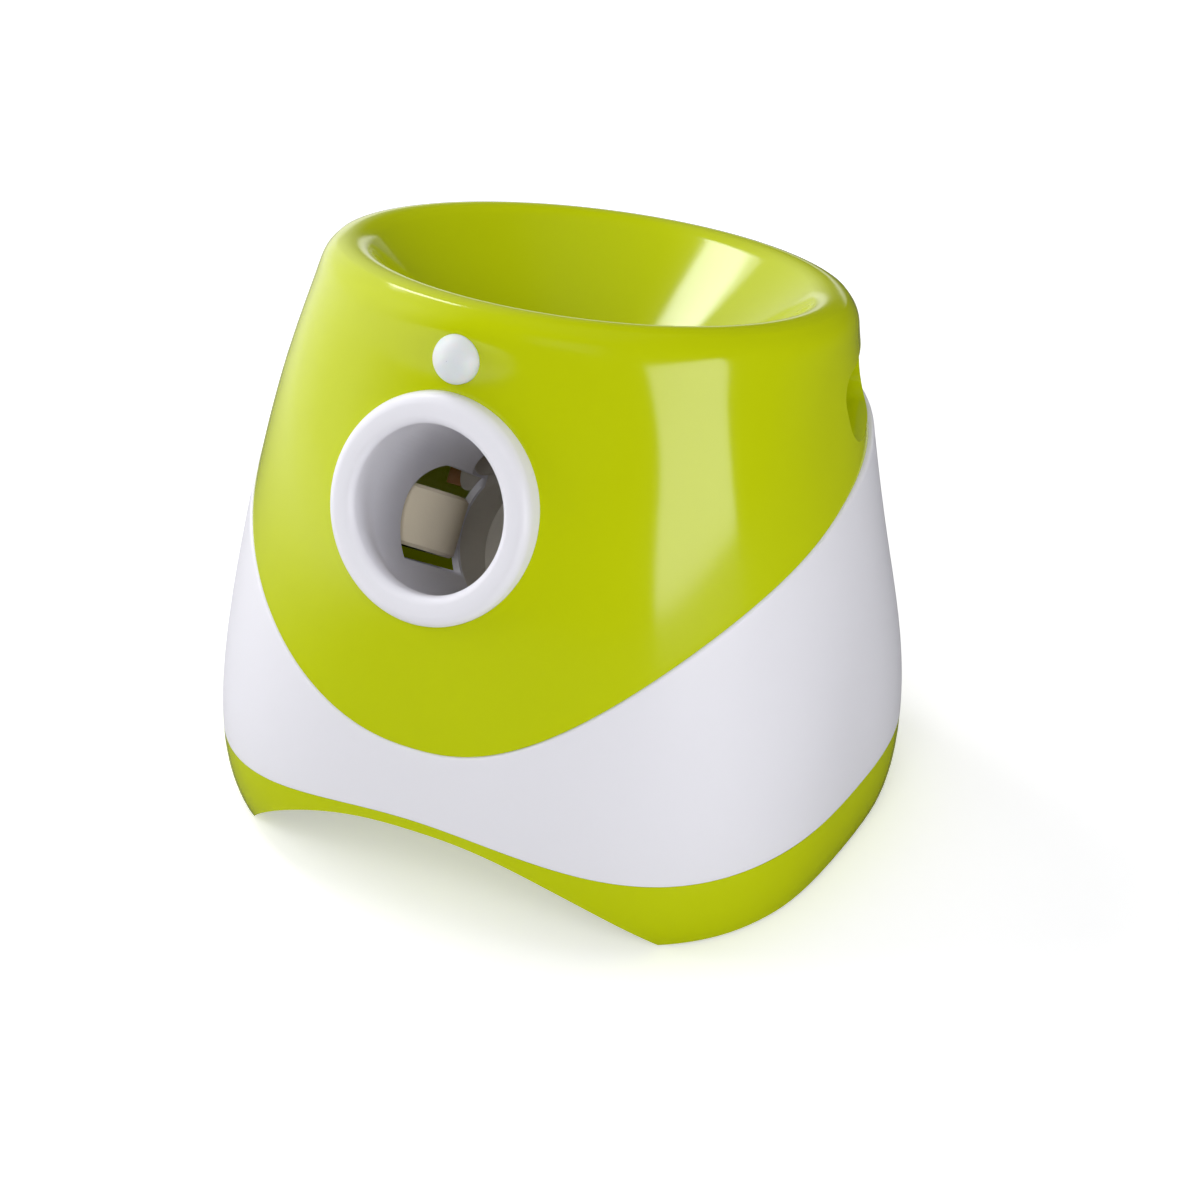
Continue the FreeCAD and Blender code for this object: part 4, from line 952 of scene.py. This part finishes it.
# ---- launcher and sensor
@dataclass
class LaunchTube:
    """White mouth ring that runs smoothly into the ball tube behind it."""

    outer: float = 40.3
    mouth: float = 29.4
    proud: float = 5.8
    outer_round: float = 4.6
    inner_round: float = 3.4
    bore: float = 30.5
    tube: float = 33.0
    joint: float = -14.0
    turn: float = 15.7
    segments: int = 192
    narrowing: Pair = (0.98, 0.022)
    collar: Triple = (-9.0, -5.0, -2.0)
    skirt: tuple[Pair, Pair] = ((36.2, -6.0), (37.4, -9.0))
    crease: float = 50.0
    cut_half: float = 70.0
    cut_corner: float = 2.0
    cut_top: float = 60.0

    def squeeze(self, radius: float) -> float:
        """How much narrower than high the ring is at a radius."""
        share = (radius - self.mouth) / (self.outer - self.mouth)
        return self.narrowing[0] - self.narrowing[1] * min(max(share, 0.0), 1.0)

    def circle(self, radius: float, height: float) -> np.ndarray:
        """A ring of points in the bezel's frame."""
        turns = turns_of(self.segments)
        return BEZEL.place(np.stack([self.squeeze(radius) * radius * np.cos(turns), radius * np.sin(turns),
                                     np.full_like(turns, height)], axis=-1))

    def bore_ring(self, radius: float, height: float) -> np.ndarray:
        """Where a bar along the tube meets a plane of the bezel's frame."""
        turns = turns_of(self.segments)
        lean = math.radians(self.turn)
        up = radius * np.sin(turns)
        depth = (-height - up * math.sin(lean)) / math.cos(lean)
        return BARREL.place(np.stack([radius * np.cos(turns), depth, up], axis=-1))

    def front(self) -> bpy.types.Object:
        """The ring with its rounded face and the first part of the passage."""
        crest = self.proud
        rows = [self.circle(self.outer, height) for height in (*self.collar, crest - self.outer_round)]
        rim = (self.outer - self.outer_round, crest - self.outer_round)
        rows += [self.circle(r, z) for r, z in arc(rim, self.outer_round, 8, 86, 14)]
        rim = (self.mouth + self.inner_round, crest - self.inner_round)
        rows += [self.circle(r, z) for r, z in arc(rim, self.inner_round, 94, 180, 14)]
        start = crest - self.inner_round
        for share in np.linspace(0, 1, 18)[1:]:
            blend = share * share * (3 - 2 * share)
            height = start + (self.joint - start) * share
            flared = self.circle(self.mouth, height) * (1 - blend)
            rows.append(flared + self.bore_ring(self.bore, height) * blend)
        rows += [self.bore_ring(self.tube, self.joint), *(self.circle(*pair) for pair in self.skirt)]
        return ring_grid("mouth_ring", rows, True)

    def build(self, shop: Workshop) -> None:
        """Make the ring, cut the tube behind it and dress both."""
        ring = self.front()
        soften(ring, self.crease)
        node = shop.frame["nodes"]["launch_tube"]
        tube = bpy.data.objects.new("tube_body", node.data.copy())
        bpy.context.scene.collection.objects.link(tube)
        outline = rounded_outline(self.cut_half, self.cut_half, self.cut_corner)
        block = prism("front_block", outline, self.joint, self.cut_top, BEZEL.place)
        combine(tube, block, "DIFFERENCE")
        soften(tube)
        shop.finish(tube, Palette.WHITE, Part.CASE, "white_satin", "launch_tube")
        shop.finish(ring, Palette.WHITE, Part.CASE, "white_satin", "launch_tube")


@dataclass
class MotionSensor:
    """Domed frosted lens over the mouth."""

    radius: float = 8.5
    ball: float = 9.0
    wall: float = 1.2
    low: float = -6.2
    flange: float = 1.2
    flange_height: float = 1.2
    collar: float = 0.6
    dome_start: float = 1.0
    dome_stop: float = 89.0

    def build(self, shop: Workshop) -> None:
        """Make and dress the lens."""
        sink = self.dome_start - math.sqrt(self.ball ** 2 - self.radius ** 2)
        top = math.degrees(math.acos(self.radius / self.ball))
        edge, shelf = self.radius + self.flange, self.low + self.flange_height
        outline = [(edge, self.low), (edge, shelf), (self.radius, shelf), (self.radius, self.collar)]
        outline += arc((0.0, sink), self.ball, top, self.dome_stop, 30)
        outline += arc((0.0, sink), self.ball - self.wall, self.dome_stop, top, 16)
        outline += [(self.radius - self.wall, self.low)]
        lens = lathe("sensor_lens_dome", outline, LENS, 96)
        soften(lens)
        shop.finish(lens, Palette.FROSTED, Part.CASE, "frosted_plastic", "sensor_lens")


@dataclass
class Hardware:
    """Nodes of the frame that keep their shape and take a finish."""

    plan: tuple[tuple[Palette, tuple[str, ...]], ...] = (
        (Palette.LIME, ("base_tray", "battery_door", "power_button")),
        (Palette.WHITE, ("distance_button",)),
        (Palette.BLACK_RUBBER, ("foot_pads",)),
        (Palette.TREAD, ("wheel_tyre_left", "wheel_tyre_right")),
        (Palette.STEEL, ("case_screws", "battery_door_screws", "battery_contacts", "wheel_shaft_left",
                         "wheel_shaft_right", "motor_screws", "gate_shaft", "sensor_can", "board_screws")),
        (Palette.MOTOR, ("wheel_motor_left", "wheel_motor_right", "gate_gear_motor")),
        (Palette.CELL, ("battery_cells",)),
        # The breech cap and the feed chute take white plastic with painted shade.
        (Palette.WHITE_PAINTED_SHADE, ("breech_cap", "feed_chute")),
        (Palette.GREY, ("sensor_holder", "control_panel")),
        (Palette.BLACK, ("wheel_hub_left", "wheel_hub_right", "switches_and_lights",
                         "power_inlet", "board_parts", "buzzer")),
        (Palette.AMBER, ("gate_disc", "ball_sensors")),
        (Palette.CREAM, ("gate_sector", "gate_pinion")),
        (Palette.CLEAR, ("light_pipes",)),
        (Palette.BOARD, ("sensor_board", "key_board", "main_board")),
    )

    def build(self, shop: Workshop) -> None:
        """Dress every listed node."""
        for finish, nodes in self.plan:
            shop.dress(finish, *nodes)


# ---- studio
@dataclass
class Softbox:
    """One rectangular lamp that looks at a point."""

    name: str
    place: Triple
    aim: Triple
    size: Pair
    radiance: float
    reflected: bool = True

    def build(self) -> None:
        """Add the lamp."""
        lamp = bpy.data.lights.new(self.name, "AREA")
        lamp.shape = "RECTANGLE"
        lamp.size, lamp.size_y = self.size
        lamp.energy = self.radiance * math.pi * self.size[0] * self.size[1]
        obj = bpy.data.objects.new(self.name, lamp)
        obj.visible_glossy = self.reflected
        obj.location = self.place
        obj.rotation_euler = (Vector(self.aim) - Vector(self.place)).to_track_quat("-Z", "Y").to_euler()
        bpy.context.scene.collection.objects.link(obj)


@dataclass
class Studio:
    """Camera, lamps, floor and world."""

    azimuth: float = 28.6
    elevation: float = 29.5
    distance: float = 1.3148
    focal_pixels: float = 3610.2
    pan: float = 0.4
    tilt: float = -1.2
    target: Triple = (0.0, 0.0, 0.110)
    left_wall: float = 1.0
    ambient: float = 0.26
    floor_half: float = 6.0
    floor_roughness: float = 0.6
    floor_colour: tuple[float, float, float, float] = (0.86, 0.86, 0.87, 1)
    floor_mirrored: tuple[float, float, float, float] = (0.06, 0.06, 0.06, 1)
    wall_side: Triple = (-0.98, 0.1, 0.15)
    softboxes: tuple[Softbox, ...] = (
        Softbox("right_softbox", (1.87, -0.62, 0.46), (0.08, -0.055, 0.46), (1.3, 0.86), 4.0),
        Softbox("left_softbox", (-2.0, -0.5, 0.8), (-0.05, 0, 0.12), (1.5, 1.5), 4.6, reflected=False),
        Softbox("strip", (-1.25, 0.35, 1.65), (0.017, 0.075, 0.17), (0.30, 0.75), 7.0),
        Softbox("strip_edge", (-1.28, 0.36, 1.68), (0.017, 0.075, 0.17), (0.52, 0.85), 3.0),
        Softbox("top_fill", (0.0, 0.2, 2.2), (0, 0, 0.1), (1.6, 1.6), 1.2, reflected=False),
        Softbox("bore_fill", (0.55, -1.5, 1.35), (0, -0.05, 0.13), (0.9, 0.9), 4.0, reflected=False),
    )

    def camera(self) -> None:
        """Place the camera."""
        az, el = math.radians(self.azimuth), math.radians(self.elevation)
        back = Vector((math.sin(az) * math.cos(el), -math.cos(az) * math.cos(el), math.sin(el)))
        forward = -back
        right = Vector((math.cos(az), math.sin(az), 0))
        up = right.cross(forward)
        pan, tilt = math.radians(self.pan), math.radians(self.tilt)
        turned = forward * math.cos(pan) + right * math.sin(pan)
        right = right * math.cos(pan) - forward * math.sin(pan)
        view = turned * math.cos(tilt) + up * math.sin(tilt)
        up = up * math.cos(tilt) - turned * math.sin(tilt)
        data = bpy.data.cameras.new("camera")
        data.sensor_width = SENSOR_WIDTH
        data.lens = SENSOR_WIDTH * self.focal_pixels / FRAME_PIXELS
        data.clip_end = 50.0
        obj = bpy.data.objects.new("camera", data)
        spot = Vector(self.target) + back * self.distance
        matrix = Matrix((right, up, -view)).transposed().to_4x4()
        matrix.translation = spot
        obj.matrix_world = matrix
        bpy.context.scene.collection.objects.link(obj)
        bpy.context.scene.camera = obj

    def floor(self) -> None:
        """Lay a flat, pale floor."""
        mesh = bpy.data.meshes.new("floor")
        half = self.floor_half
        mesh.from_pydata([(-half, -half, 0), (half, -half, 0), (half, half, 0), (-half, half, 0)], [],
                         [(0, 1, 2, 3)])
        obj = bpy.data.objects.new("floor", mesh)
        bpy.context.scene.collection.objects.link(obj)
        material = bpy.data.materials.new("pale_floor")
        material.use_nodes = True
        kit = NodeKit(material.node_tree)
        shader = material.node_tree.nodes["Principled BSDF"]
        path = kit.add("ShaderNodeLightPath")
        camera, glossy = path.outputs["Is Camera Ray"], path.outputs["Is Glossy Ray"]
        place = kit.add("ShaderNodeTexCoord").outputs["Object"]
        split = kit.fill(kit.add("ShaderNodeSeparateXYZ"), {"Vector": place})
        bright = kit.span(split.outputs["X"], (-0.2, 0.0), (-0.8, 1.0))
        mirrored = kit.math("MULTIPLY", kit.math("MULTIPLY", bright, self.left_wall), glossy)
        reach = kit.add("ShaderNodeVectorMath", operation="LENGTH")
        kit.link(place, reach.inputs[0])
        shown = kit.math("MULTIPLY", camera, kit.span(reach.outputs["Value"], (1.2, 0.4), (3.0, 1.0)))
        kit.fill(shader, {
            "Roughness": self.floor_roughness, "Emission Color": WHITE_LIGHT,
            "Base Color": kit.mix(glossy, self.floor_colour, self.floor_mirrored),
            "Emission Strength": kit.math("ADD", mirrored, shown)})
        mesh.materials.append(material)

    def world(self) -> None:
        """White surroundings for the camera, soft for the light itself and dark in reflections."""
        world = bpy.data.worlds.new("studio")
        bpy.context.scene.world = world
        world.use_nodes = True
        kit = NodeKit(world.node_tree)
        back = world.node_tree.nodes["Background"]
        path = kit.add("ShaderNodeLightPath")
        camera, glossy = path.outputs["Is Camera Ray"], path.outputs["Is Glossy Ray"]
        toward = kit.add("ShaderNodeVectorMath", operation="DOT_PRODUCT")
        kit.link(kit.add("ShaderNodeTexCoord").outputs["Generated"], toward.inputs[0])
        toward.inputs[1].default_value = self.wall_side
        wall = kit.span(toward.outputs["Value"], (0.4, 0.03), (0.9, self.left_wall))
        shown = kit.math("MULTIPLY", camera, 1.0 - self.ambient)
        mirrored = kit.math("MULTIPLY", glossy, kit.math("SUBTRACT", wall, self.ambient))
        strength = kit.math("ADD", kit.math("ADD", self.ambient, mirrored), shown)
        kit.fill(back, {"Color": WHITE_LIGHT, "Strength": strength})

    def build(self) -> None:
        """Set up the whole studio."""
        self.camera()
        self.floor()
        self.world()
        for lamp in self.softboxes:
            lamp.build()
        bpy.context.scene.view_settings.view_transform = "Standard"


def main() -> None:
    """Build the dressed launcher."""
    logging.basicConfig(level=logging.INFO, format="%(message)s")
    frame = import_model()
    shop = Workshop(frame, Wardrobe())
    for assembly in (Hardware(), LowerShell(), TopShell(), LaunchTube(), MotionSensor()):
        assembly.build(shop)
    Studio().build()


if __name__ == "__main__":
    main()
